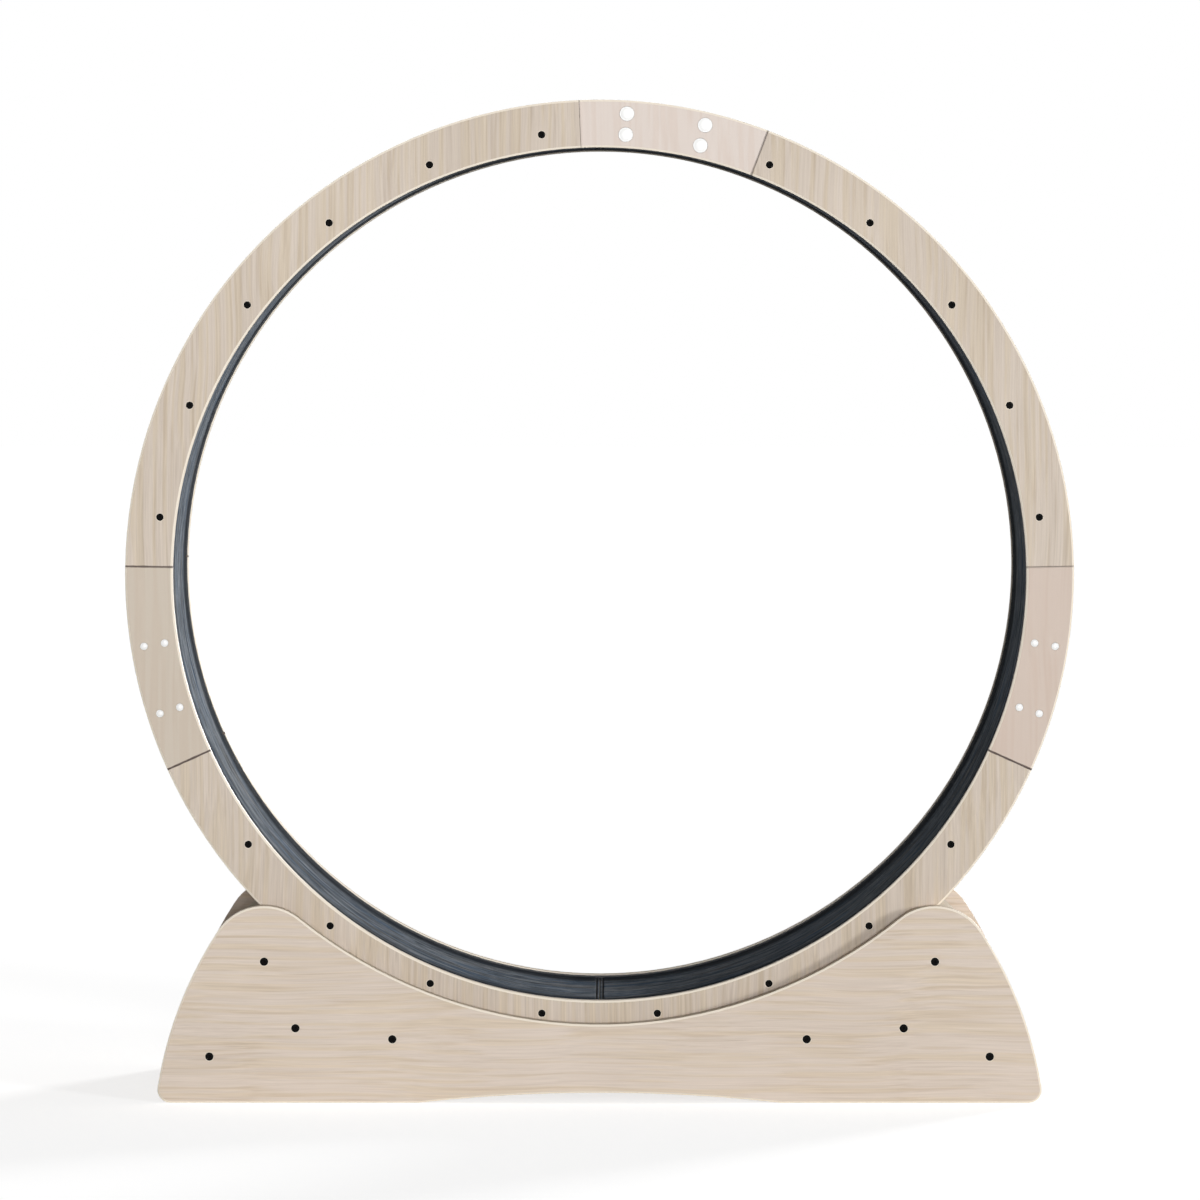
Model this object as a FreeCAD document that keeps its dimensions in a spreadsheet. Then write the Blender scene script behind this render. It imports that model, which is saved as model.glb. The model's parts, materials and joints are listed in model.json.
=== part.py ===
import FreeCAD, Part
import math
import os
import Sketcher

# Cat exercise wheel. A big ring-sided running wheel rolls on four flanged rollers between two
# base panels. Millimetres, +Z up, the wheel's axis along Y, the front towards -Y, and the
# origin on the floor under the middle of the wheel. Angles are in degrees, clockwise from the
# top of the wheel as seen from the front.

DRIVING_SIZES = [
    # the two side rings of the wheel
    ("ring_lift", 55.0),             # lowest point of the wheel above the floor
    ("ring_outer", 500.0),           # outer radius of a side ring
    ("ring_width", 50.0),            # from a ring's inner edge to its outer edge
    ("ring_thickness", 15.0),
    ("track_width", 300.0),          # clear distance between the two side rings
    ("edge_chamfer", 2.0),           # eased outer edges of rings, plates and panels
    ("track_edge_chamfer", 1.2),     # eased edges of the rings towards the track
    # the three joints of each ring, closed by flush splice plates
    ("joint_angle_top", 8.3),        # the joint near the top
    ("joint_angle_side", 103.2),     # the joint on each side
    ("plate_angle_top_before", 10.8),    # how far each plate reaches on each side of its joint
    ("plate_angle_top_after", 12.5),
    ("plate_angle_side_above", 14.3),
    ("plate_angle_side_below", 11.1),
    ("lap_depth", 7.5),              # thickness of a splice plate, let into the ring
    ("joint_gap", 0.4),              # open line at each end of a plate
    ("cut_overrun", 5.0),            # how far a cut runs past the edges of a ring
    ("cut_overrun_angle", 1.0),
    # splice screws and the caps over them
    ("cap_top_diameter", 15.5),
    ("cap_side_diameter", 8.0),
    ("cap_thickness", 1.5),
    ("cap_proud", 0.3),
    ("cap_inset", 14.0),             # from each edge of the ring to the middle of a cap
    ("cap_angle_top", 4.9),          # from the joint to a cap
    ("cap_angle_side", 4.3),
    ("cap_ease", 0.4),               # chamfer round the rim of a cap
    ("cap_clearance", 0.15),
    ("splice_head_diameter", 6.4),
    ("splice_head_height", 2.0),
    ("splice_shank", 3.0),
    ("splice_length", 8.5),
    # running surface: mats on bent plywood on battens
    ("mat_recess", 2.5),             # rings stand this far proud of the mat
    ("mat_thickness", 3.5),
    ("mat_joint", 0.6),              # open line where the two mats meet
    ("liner_thickness", 3.0),
    ("liner_tongue", 4.7),           # the plywood's edge reaches this far into each ring
    ("liner_joint", 0.6),
    ("liner_joint_angle", 97.5),     # the plywood's joints lie on battens
    ("layer_gap", 0.3),
    ("batten_count", 24.0),
    ("batten_width", 25.0),
    ("batten_thickness", 15.0),
    ("batten_screw_head", 8.0),
    ("batten_screw_shank", 3.6),
    ("batten_screw_length", 40.0),
    # base panels
    ("panel_thickness", 18.0),
    ("panel_gap", 12.0),             # between a ring's face and the panel beside it
    ("foot_overhang", 112.7),        # each foot reaches this far past the roller's axle
    ("foot_corner", 14.0),           # corner radius at each end of a foot
    ("flank_radius", 420.0),         # long curve up each end of a panel
    ("hump_radius", 58.5),           # shoulder over each roller
    ("hollow_extra", 2.0),           # the long hollow's radius is this much over the ring's
    ("arch_inset", 162.8),           # from a roller's axle to the arch between the feet
    ("arch_rise", 10.5),
    # crossbars between the panels
    ("bar_size", 30.0),
    ("bar_rounding", 3.0),
    ("outer_bar_offset", 57.8),      # from a roller's axle towards the end of the base
    ("outer_bar_height", 49.0),
    ("middle_bar_offset", -32.8),
    ("middle_bar_height", 78.9),
    ("inner_bar_offset", -134.8),
    ("inner_bar_height", 67.3),
    ("panel_screw_head", 9.0),
    ("panel_screw_shank", 4.4),
    ("panel_screw_length", 45.0),
    ("pilot_extra", 2.0),            # a pilot hole is this much deeper than its screw
    ("screw_clearance", 0.3),        # on the diameter, round every screw
    ("head_sink", 0.3),              # screw heads lie this far below the wood
    # rollers and their shafts
    ("roller_angle", 41.0),          # roller axles, from the wheel's lowest point
    ("tyre_radius", 37.5),
    ("tyre_depth", 5.4),
    ("tyre_chamfer", 1.2),
    ("running_gap", 0.3),            # between a tyre and the ring that it carries
    ("flange_radius", 44.0),
    ("flange_thickness", 5.0),
    ("flange_play", 1.0),            # each side of the ring, between the flanges
    ("flange_flare", 0.8),           # the groove opens this much towards its mouth
    ("bearing_outer", 30.0),
    ("bearing_width", 9.0),
    ("bearing_fit", 0.2),            # on the diameter
    ("race_width", 2.6),             # radial width of each race
    ("shield_sink", 0.6),
    ("hub_land_bore", 25.0),
    ("web_depth", 3.0),              # recess in each side of a roller
    ("web_inner", 20.0),
    ("web_outer", 38.0),
    ("shaft_diameter", 10.0),
    ("shaft_chamfer", 0.8),
    ("shaft_fit", 0.2),              # on the diameter, bearings and collars on the shaft
    ("shaft_bore_depth", 32.0),
    ("spacer_wall", 2.0),
    ("collar_wall", 4.0),
    ("collar_width", 10.0),
    ("end_play", 0.3),
]

doc = FreeCAD.newDocument("cat_exercise_wheel")
sheet = doc.addObject("Spreadsheet::Sheet", "Sizes")
for row, (alias, size) in enumerate(DRIVING_SIZES, start=1):
    sheet.set(f"A{row}", alias)
    sheet.set(f"B{row}", str(size))
    sheet.setAlias(f"B{row}", alias)
doc.recompute()

# Sizes that follow from the driving ones, as formulas over the sheet.
AXIS_HEIGHT = "(Sizes.ring_outer + Sizes.ring_lift)"
RING_INNER = "(Sizes.ring_outer - Sizes.ring_width)"
RING_FACE = "(Sizes.track_width / 2 + Sizes.ring_thickness)"
HALF_TRACK = "(Sizes.track_width / 2)"
LAP_FLOOR = f"({RING_FACE} - Sizes.lap_depth)"
MAT_INNER = f"({RING_INNER} + Sizes.mat_recess)"
MAT_OUTER = f"({MAT_INNER} + Sizes.mat_thickness)"
LINER_INNER = f"({MAT_OUTER} + Sizes.layer_gap)"
LINER_OUTER = f"({LINER_INNER} + Sizes.liner_thickness)"
BATTEN_INNER = f"({LINER_OUTER} + Sizes.layer_gap)"
BATTEN_OUTER = f"({BATTEN_INNER} + Sizes.batten_thickness)"
BATTEN_MIDDLE = f"({BATTEN_INNER} + Sizes.batten_thickness / 2)"
BATTEN_STEP = "(360 / Sizes.batten_count)"
PANEL_INNER = f"({RING_FACE} + Sizes.panel_gap)"
PANEL_FACE = f"({PANEL_INNER} + Sizes.panel_thickness)"
ROLLER_SPAN = "(Sizes.ring_outer + Sizes.running_gap + Sizes.tyre_radius)"
ROLLER_X = f"({ROLLER_SPAN} * sin(Sizes.roller_angle * 1 deg))"
ROLLER_Z = f"({AXIS_HEIGHT} - {ROLLER_SPAN} * cos(Sizes.roller_angle * 1 deg))"
ROLLER_Y = "(Sizes.track_width / 2 + Sizes.ring_thickness / 2)"
GROOVE_HALF = "(Sizes.ring_thickness / 2 + Sizes.flange_play)"
ROLLER_HALF = f"({GROOVE_HALF} + Sizes.flange_thickness)"
PILOT_DEPTH = "(Sizes.panel_screw_length - Sizes.panel_thickness + Sizes.pilot_extra)"
FOOT_REACH = f"({ROLLER_X} + Sizes.foot_overhang)"
ARCH_REACH = f"({ROLLER_X} - Sizes.arch_inset)"
ARCH_RADIUS = f"(({ARCH_REACH} ^ 2 + Sizes.arch_rise ^ 2) / (2 * Sizes.arch_rise))"
HOLLOW_RADIUS = "(Sizes.ring_outer + Sizes.hollow_extra)"

CUT_TYPES = ("PartDesign::Pocket", "PartDesign::Hole")
SMALLEST_CUT = 1.0                   # cubic millimetres that every cut removes at least
SAME = 1e-6                          # lengths closer than this are equal
sub_parts = []


def value(formula):
    """The number that a formula over the sheet stands for."""
    return float(sheet.evalExpression(formula))


def turned(radius, angle):
    """Sketch coordinates at a radius and a clockwise angle from the top."""
    return FreeCAD.Vector(radius * math.sin(math.radians(angle)), radius * math.cos(math.radians(angle)), 0)


def new_body(name, x="0", y="0", z="0", turn=None):
    """An empty body placed at a point, and turned about the Y axis if asked."""
    body = doc.addObject("PartDesign::Body", name)
    body.Label = name
    body.AllowCompound = True
    if turn is not None:
        body.Placement = FreeCAD.Placement(
            FreeCAD.Vector(0, 0, 0), FreeCAD.Rotation(FreeCAD.Vector(0, 1, 0), value(turn))
        )
        body.setExpression("Placement.Rotation.Angle", f"{turn} * 1 deg")
    for axis, formula in (("x", x), ("y", y), ("z", z)):
        if formula != "0":
            body.setExpression(f"Placement.Base.{axis}", f"{formula} * 1 mm")
    sub_parts.append(body)
    return body


def origin_feature(body, role):
    return next(feature for feature in body.Origin.OriginFeatures if feature.Role == role)


def new_sketch(body, name, offset="0", plane="XZ_Plane"):
    """A sketch on an origin plane; on XZ_Plane the offset runs towards the front."""
    sketch = body.newObject("Sketcher::SketchObject", name)
    sketch.AttachmentSupport = [(origin_feature(body, plane), "")]
    sketch.MapMode = "FlatFace"
    if offset != "0":
        sketch.setExpression("AttachmentOffset.Base.z", f"{offset} * 1 mm")
    return sketch


def bind(sketch, constraint, formula, unit="mm"):
    """Add a constraint and tie its value to the sheet."""
    index = sketch.addConstraint(constraint)
    sketch.setExpression(f"Constraints[{index}]", f"{formula} * 1 {unit}")


def place_point(sketch, shape, end, x, y):
    """Tie one point of a sketch to its two coordinates."""
    for direction, formula, axis in (("DistanceX", x, -2), ("DistanceY", y, -1)):
        if abs(value(formula)) < SAME:
            sketch.addConstraint(Sketcher.Constraint("PointOnObject", shape, end, axis))
        else:
            bind(sketch, Sketcher.Constraint(direction, -1, 1, shape, end, value(formula)), formula)


def outline(sketch, corners):
    """A closed outline of straight lines through corners given as pairs of formulas."""
    points = [FreeCAD.Vector(value(x), value(y), 0) for x, y in corners]
    lines = [
        sketch.addGeometry(Part.LineSegment(point, points[(index + 1) % len(points)]))
        for index, point in enumerate(points)
    ]
    for index, line in enumerate(lines):
        sketch.addConstraint(Sketcher.Constraint("Coincident", lines[index - 1], 2, line, 1))
        place_point(sketch, line, 1, *corners[index])


def sector(sketch, inner, outer, start, end):
    """A piece of a ring between two clockwise angles, centred on the sketch's origin."""
    centre = FreeCAD.Vector(0, 0, 0)
    low = math.radians(90 - value(end))
    high = math.radians(90 - value(start))
    arcs = []
    for radius in (inner, outer):
        circle = Part.Circle(centre, FreeCAD.Vector(0, 0, 1), value(radius))
        arc = sketch.addGeometry(Part.ArcOfCircle(circle, low, high))
        sketch.addConstraint(Sketcher.Constraint("Coincident", arc, 3, -1, 1))
        bind(sketch, Sketcher.Constraint("Radius", arc, value(radius)), radius)
        arcs.append(arc)
    for arc_end, angle in ((1, end), (2, start)):
        near, far = (turned(value(radius), value(angle)) for radius in (inner, outer))
        line = sketch.addGeometry(Part.LineSegment(near, far))
        sketch.addConstraint(Sketcher.Constraint("Coincident", line, 1, arcs[0], arc_end))
        sketch.addConstraint(Sketcher.Constraint("Coincident", line, 2, arcs[1], arc_end))
        sketch.addConstraint(Sketcher.Constraint("PointOnObject", -1, 1, line))
        bearing = f"(90 - ({angle}))"
        bind(sketch, Sketcher.Constraint("Angle", line, math.radians(value(bearing))), bearing, "deg")


def round_at(sketch, x, y, diameter):
    """A circle whose centre is tied to two coordinates."""
    centre = FreeCAD.Vector(value(x), value(y), 0)
    circle = sketch.addGeometry(Part.Circle(centre, FreeCAD.Vector(0, 0, 1), value(diameter) / 2))
    place_point(sketch, circle, 3, x, y)
    bind(sketch, Sketcher.Constraint("Diameter", circle, value(diameter)), diameter)


def round_at_angle(sketch, radius, angle, diameter):
    """A circle at a radius and a clockwise angle from the top."""
    x = f"({radius} * sin(({angle}) * 1 deg))"
    y = f"({radius} * cos(({angle}) * 1 deg))"
    round_at(sketch, x, y, diameter)


def feature(body, kind, name, profile=None, **formulas):
    """A feature of a body, with its sizes tied to the sheet."""
    made = body.newObject(f"PartDesign::{kind}", name)
    if profile is not None:
        made.Profile = profile
        profile.Visibility = False
    for prop, formula in formulas.items():
        made.setExpression(prop, f"{formula} * 1 mm")
    return made


def pad(body, sketch, length, name="pad"):
    return feature(body, "Pad", name, sketch, Length=length)


def pocket(body, sketch, depth, name, backwards=False):
    cut = feature(body, "Pocket", name, sketch, Length=depth)
    cut.Reversed = backwards
    return cut


def bore(body, sketch, name, diameter, depth=None, seat=None, seat_diameter=None, seat_depth=None):
    """Drilled holes at the sketch's circles: plain, countersunk or counterbored."""
    doc.recompute()
    hole = body.newObject("PartDesign::Hole", name)
    hole.Profile = sketch
    hole.ThreadType = "None"
    hole.DepthType = "ThroughAll" if depth is None else "Dimension"
    hole.DrillPoint = "Flat"
    hole.setExpression("Diameter", f"{diameter} * 1 mm")
    if depth is not None:
        hole.setExpression("Depth", f"{depth} * 1 mm")
    if seat is not None:
        hole.HoleCutType = seat
        hole.HoleCutCustomValues = True
        hole.setExpression("HoleCutDiameter", f"{seat_diameter} * 1 mm")
    if seat == "Countersink":
        hole.HoleCutCountersinkAngle = 90
    if seat_depth is not None:
        hole.setExpression("HoleCutDepth", f"{seat_depth} * 1 mm")
    return hole


def ease_edges(body, base, name, wanted, size="Sizes.edge_chamfer"):
    """Chamfer the edges of the last feature that a test picks."""
    doc.recompute()
    names = [f"Edge{index}" for index, edge in enumerate(base.Shape.Edges, start=1) if wanted(edge)]
    chamfer = body.newObject("PartDesign::Chamfer", name)
    chamfer.Base = (base, names)
    chamfer.setExpression("Size", f"{size} * 1 mm")
    return chamfer


def turned_piece(body, corners, name="profile"):
    """Revolve an outline of (radius, place along the axis) pairs about the body's Y axis."""
    sketch = new_sketch(body, name, plane="XY_Plane")
    outline(sketch, corners)
    doc.recompute()
    spin = feature(body, "Revolution", "turning", sketch)
    spin.ReferenceAxis = (sketch, ["V_Axis"])
    spin.Angle = 360
    return spin


def mirrored_to_back(front, name):
    """The same piece on the back of the object, mirrored through its middle plane."""
    back = doc.addObject("Part::Mirroring", name)
    back.Label = name
    back.Source = front
    back.Normal = FreeCAD.Vector(0, 1, 0)
    sub_parts.append(back)
    return back


def group(name, shape, places):
    """Copies of one small piece in one node, each at its own placement."""
    made = doc.addObject("Part::Feature", name)
    made.Label = name
    made.Shape = Part.makeCompound([shape.copy().transformed(place.toMatrix()) for place in places])
    sub_parts.append(made)
    return made


def both_sides(x, y, z):
    """Placements on the front and the back, for a piece drawn pointing from its head to +Y."""
    front = FreeCAD.Placement(FreeCAD.Vector(x, -y, z), FreeCAD.Rotation())
    half_turn = FreeCAD.Rotation(FreeCAD.Vector(0, 0, 1), 180)
    return [front, FreeCAD.Placement(FreeCAD.Vector(x, y, z), half_turn)]


def turned_shape(corners):
    """A solid of revolution about Y from (radius, place along Y) pairs of numbers."""
    points = [FreeCAD.Vector(radius, along, 0) for radius, along in corners]
    face = Part.Face(Part.makePolygon(points + points[:1]))
    return face.revolve(FreeCAD.Vector(0, 0, 0), FreeCAD.Vector(0, 1, 0), 360)


# ---- side rings -------------------------------------------------------------------------

# Each joint: its angle, how far its plate reaches before and after it, and the angle from it
# to its caps.
JOINTS = {
    "top": (
        "Sizes.joint_angle_top",
        "Sizes.plate_angle_top_before",
        "Sizes.plate_angle_top_after",
        "Sizes.cap_angle_top",
    ),
    "right": (
        "Sizes.joint_angle_side",
        "Sizes.plate_angle_side_above",
        "Sizes.plate_angle_side_below",
        "Sizes.cap_angle_side",
    ),
    "left": (
        "(360 - Sizes.joint_angle_side)",
        "Sizes.plate_angle_side_below",
        "Sizes.plate_angle_side_above",
        "Sizes.cap_angle_side",
    ),
}
CAP_DIAMETERS = {
    "top": "Sizes.cap_top_diameter",
    "right": "Sizes.cap_side_diameter",
    "left": "Sizes.cap_side_diameter",
}
# Each arc of a ring runs clockwise from one joint to the next.
ARCS = {"right": ("top", "right", "0"), "bottom": ("right", "left", "0"), "left": ("left", "top", "360")}
CAP_RADII = (f"({RING_INNER} + Sizes.cap_inset)", "(Sizes.ring_outer - Sizes.cap_inset)")


def stations(start, end):
    """Clockwise angles of the battens between two angles."""
    step = value(BATTEN_STEP)
    angles = [step * (index + 0.5) for index in range(2 * round(value("Sizes.batten_count")))]
    return [angle for angle in angles if start < angle < end]


def is_covered(angle):
    """Whether a splice plate lies over the ring at a clockwise angle."""
    for joint_angle, before, after, _ in JOINTS.values():
        apart = (angle - value(joint_angle) + 180) % 360 - 180
        if -value(before) < apart < value(after):
            return True
    return False


def lies_at(edge, y):
    """Whether an edge lies in the plane at a depth."""
    return abs(edge.BoundBox.YMin - y) < SAME and abs(edge.BoundBox.YMax - y) < SAME


def rim_edge(y):
    """A test for the curved edges of a ring piece at a depth."""
    radii = (value(RING_INNER), value("Sizes.ring_outer"))

    def wanted(edge):
        if not lies_at(edge, y) or not isinstance(edge.Curve, Part.Circle):
            return False
        return min(abs(edge.Curve.Radius - radius) for radius in radii) < SAME

    return wanted


def ring_arc(name, first, last, lift):
    """One arc of a front ring, half-lapped at both ends for its splice plates."""
    start, _, start_reach, start_caps = JOINTS[first]
    end, end_reach, _, end_caps = JOINTS[last]
    end = f"({end} + {lift})"
    body = new_body(name, z=AXIS_HEIGHT)
    base = pad(body, ring_sketch(body, "arc", HALF_TRACK, start, end), "Sizes.ring_thickness")
    eased = ease_edges(body, base, "eased_rims", rim_edge(-value(RING_FACE)))
    track_edges = rim_edge(-value(HALF_TRACK))
    ease_edges(body, eased, "eased_track_edges", track_edges, "Sizes.track_edge_chamfer")

    laps = new_sketch(body, "laps", RING_FACE)
    wide = (f"({RING_INNER} - Sizes.cut_overrun)", "(Sizes.ring_outer + Sizes.cut_overrun)")
    before_start = f"({start} - Sizes.cut_overrun_angle)"
    past_end = f"({end} + Sizes.cut_overrun_angle)"
    sector(laps, *wide, before_start, f"({start} + {start_reach})")
    sector(laps, *wide, f"({end} - {end_reach})", past_end)
    pocket(body, laps, "Sizes.lap_depth", "half_laps")

    groove = new_sketch(body, "groove", HALF_TRACK)
    inner = f"({LINER_INNER} - Sizes.layer_gap / 2)"
    outer = f"({LINER_OUTER} + Sizes.layer_gap / 2)"
    sector(groove, inner, outer, before_start, past_end)
    pocket(body, groove, "(Sizes.liner_tongue + Sizes.layer_gap)", "liner_groove", backwards=True)

    screw_hole = "(Sizes.batten_screw_shank + Sizes.screw_clearance)"
    screw_seat = "(Sizes.batten_screw_head + 2 * Sizes.head_sink)"
    for covered, plane in ((False, RING_FACE), (True, LAP_FLOOR)):
        angles = [a for a in stations(value(start), value(end)) if is_covered(a) is covered]
        if angles:
            holes = new_sketch(body, f"screw_places_{covered}", plane)
            for angle in angles:
                place = f"({round((angle / value(BATTEN_STEP)) * 2)} * {BATTEN_STEP} / 2)"
                round_at_angle(holes, BATTEN_MIDDLE, place, screw_hole)
            bore(
                body, holes, f"screw_holes_{covered}", screw_hole,
                seat="Countersink", seat_diameter=screw_seat,
            )

    splice = new_sketch(body, "splice_places", LAP_FLOOR)
    splice_hole = "(Sizes.splice_shank + Sizes.screw_clearance)"
    for radius in CAP_RADII:
        round_at_angle(splice, radius, f"({start} + {start_caps})", splice_hole)
        round_at_angle(splice, radius, f"({end} - {end_caps})", splice_hole)
    splice_reach = (
        "(Sizes.splice_length + Sizes.cap_thickness - Sizes.cap_proud - Sizes.lap_depth"
        " + Sizes.splice_head_height + Sizes.screw_clearance)"
    )
    bore(body, splice, "splice_holes", splice_hole, depth=splice_reach)
    return body


def ring_sketch(body, name, offset, start, end):
    """A sketch of a ring-wide sector on the body's front side."""
    sketch = new_sketch(body, name, offset)
    sector(sketch, RING_INNER, "Sizes.ring_outer", start, end)
    return sketch


def splice_plate(name, joint):
    """A flush plate over one joint of the front ring, with sunk seats for its capped screws."""
    angle, before, after, caps = JOINTS[joint]
    gap = "Sizes.joint_gap / Sizes.ring_outer * 180 / pi"
    start, end = f"({angle} - {before} + {gap})", f"({angle} + {after} - {gap})"
    body = new_body(name, z=AXIS_HEIGHT)
    base = pad(body, ring_sketch(body, "plate", LAP_FLOOR, start, end), "Sizes.lap_depth")
    ease_edges(body, base, "eased_rims", rim_edge(-value(RING_FACE)))
    places = new_sketch(body, "screw_places", RING_FACE)
    shank = "(Sizes.splice_shank + Sizes.screw_clearance)"
    for radius in CAP_RADII:
        for side in ("-", "+"):
            round_at_angle(places, radius, f"({angle} {side} {caps})", shank)
    bore(
        body, places, "capped_holes", shank, seat="Counterbore",
        seat_diameter=f"({CAP_DIAMETERS[joint]} + 2 * Sizes.cap_clearance)",
        seat_depth="(Sizes.cap_thickness - Sizes.cap_proud + Sizes.splice_head_height)",
    )
    return body


for arc_name, (first, last, lift) in ARCS.items():
    mirrored_to_back(ring_arc(f"ring_front_{arc_name}", first, last, lift), f"ring_back_{arc_name}")
for joint in JOINTS:
    mirrored_to_back(splice_plate(f"splice_front_{joint}", joint), f"splice_back_{joint}")
doc.recompute()


def joint_places(joint, depth):
    """Placements at the four screws of a joint, front and back, at a depth below the face."""
    angle, _, _, caps = JOINTS[joint]
    places = []
    for radius in CAP_RADII:
        for side in (-1, 1):
            spot = turned(value(radius), value(angle) + side * value(caps))
            places += both_sides(spot.x, value(RING_FACE) - depth, value(AXIS_HEIGHT) + spot.y)
    return places


def cap_shape(diameter):
    """A thin round cover cap with an eased rim; its outer face looks to -Y."""
    radius, thick, ease = value(diameter) / 2, value("Sizes.cap_thickness"), value("Sizes.cap_ease")
    return turned_shape([(0, 0), (radius - ease, 0), (radius, ease), (radius, thick), (0, thick)])


def splice_screw_shape():
    """A pan-head screw; its head looks to -Y."""
    head, shank = value("Sizes.splice_head_diameter") / 2, value("Sizes.splice_shank") / 2
    tall, length = value("Sizes.splice_head_height"), value("Sizes.splice_length")
    end = tall + length
    return turned_shape([(0, 0), (head, 0), (head, tall), (shank, tall), (shank, end), (0, end)])


def countersunk_shape(head_diameter, shank_diameter, length):
    """A countersunk screw with a plain point; its head looks to -Y."""
    head, shank = head_diameter / 2, shank_diameter / 2
    return turned_shape([
        (0, 0), (head, 0), (shank, head - shank), (shank, length - shank_diameter), (0, length),
    ])


proud = value("Sizes.cap_proud")
head_floor = value("Sizes.cap_thickness") - proud
group("splice_caps_top", cap_shape("Sizes.cap_top_diameter"), joint_places("top", -proud))
group(
    "splice_caps_side", cap_shape("Sizes.cap_side_diameter"),
    joint_places("right", -proud) + joint_places("left", -proud),
)
group(
    "splice_screws", splice_screw_shape(),
    [place for joint in JOINTS for place in joint_places(joint, head_floor)],
)

# ---- running surface --------------------------------------------------------------------


def curved_sheet(name, inner, outer, half_width, start, end, joint):
    """A bent sheet between two angles, a little short at each end to leave its joint open."""
    body = new_body(name, z=AXIS_HEIGHT)
    sketch = new_sketch(body, "section", f"(-{half_width})")
    trim = f"({joint} / 2 / {inner} * 180 / pi)"
    sector(sketch, inner, outer, f"({start} + {trim})", f"({end} - {trim})")
    pad(body, sketch, f"(2 * {half_width})")
    return body


LINER_HALF = f"({HALF_TRACK} + Sizes.liner_tongue)"
MAT_HALF = f"({HALF_TRACK} - Sizes.layer_gap)"
liner = (LINER_INNER, LINER_OUTER, LINER_HALF)
curved_sheet(
    "liner_bottom", *liner, "Sizes.liner_joint_angle", "(Sizes.liner_joint_angle + 180)", "Sizes.liner_joint"
)
curved_sheet(
    "liner_top", *liner, "(Sizes.liner_joint_angle - 180)", "Sizes.liner_joint_angle", "Sizes.liner_joint"
)
curved_sheet("mat_right", MAT_INNER, MAT_OUTER, MAT_HALF, "0", "180", "Sizes.mat_joint")
curved_sheet("mat_left", MAT_INNER, MAT_OUTER, MAT_HALF, "180", "360", "Sizes.mat_joint")


def batten_set(name, first, last, lift):
    """The battens behind one arc: the first is padded, and the others repeat round the axis."""
    start = value(JOINTS[first][0])
    end = value(f"({JOINTS[last][0]} + {lift})")
    angles = stations(start, end)
    half_steps = round(angles[0] / value(BATTEN_STEP) * 2)
    body = new_body(name, z=AXIS_HEIGHT, turn=f"({half_steps} * {BATTEN_STEP} / 2)")
    section = new_sketch(body, "section", f"(-{HALF_TRACK})")
    left, right = "(-Sizes.batten_width / 2)", "(Sizes.batten_width / 2)"
    near, far = BATTEN_INNER, BATTEN_OUTER
    outline(section, [(left, near), (right, near), (right, far), (left, far)])
    base = pad(body, section, "Sizes.track_width", "first_batten")
    pilot = "(Sizes.batten_screw_shank + Sizes.screw_clearance)"
    ends = (("front", HALF_TRACK, False), ("back", f"(-{HALF_TRACK})", True))
    cuts = [base]
    for end_name, plane, backwards in ends:
        hole = new_sketch(body, f"pilot_{end_name}", plane)
        round_at(hole, "0", BATTEN_MIDDLE, pilot)
        cuts.append(pocket(body, hole, "Sizes.batten_screw_length", f"pilot_hole_{end_name}", backwards))
    pattern = body.newObject("PartDesign::PolarPattern", "battens")
    pattern.Originals = cuts
    pattern.Axis = (origin_feature(body, "Y_Axis"), [""])
    pattern.Mode = "Spacing"
    pattern.setExpression("Offset", f"{BATTEN_STEP} * 1 deg")
    pattern.Occurrences = len(angles)
    body.Tip = pattern
    return body


for arc_name, (first, last, lift) in ARCS.items():
    batten_set(f"battens_{arc_name}", first, last, lift)

screw_places = []
for angle in stations(0, 360):
    spot = turned(value(BATTEN_MIDDLE), angle)
    face = value(LAP_FLOOR) if is_covered(angle) else value(RING_FACE)
    screw_places += both_sides(spot.x, face - value("Sizes.head_sink"), value(AXIS_HEIGHT) + spot.y)
batten_screw = countersunk_shape(
    value("Sizes.batten_screw_head"), value("Sizes.batten_screw_shank"), value("Sizes.batten_screw_length")
)
group("batten_screws", batten_screw, screw_places)

# ---- base -------------------------------------------------------------------------------

BAR_PLACES = {
    place: (f"({ROLLER_X} + Sizes.{place}_bar_offset)", f"Sizes.{place}_bar_height")
    for place in ("outer", "middle", "inner")
}
PANEL_SCREW_PLACES = [(ROLLER_X, ROLLER_Z)] + list(BAR_PLACES.values())
SIDES = {"left": "-", "right": ""}


def circles_meet(first, first_radius, second, second_radius):
    """Where two circles in the sketch meet, on the side of the lower x."""
    apart = second - first
    along = (apart.Length ** 2 + first_radius ** 2 - second_radius ** 2) / (2 * apart.Length)
    across = math.sqrt(first_radius ** 2 - along ** 2)
    unit = FreeCAD.Vector(apart).normalize()
    side = FreeCAD.Vector(-unit.y, unit.x, 0)
    return min((first + unit * along + side * sign * across for sign in (-1, 1)), key=lambda point: point.x)


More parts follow.
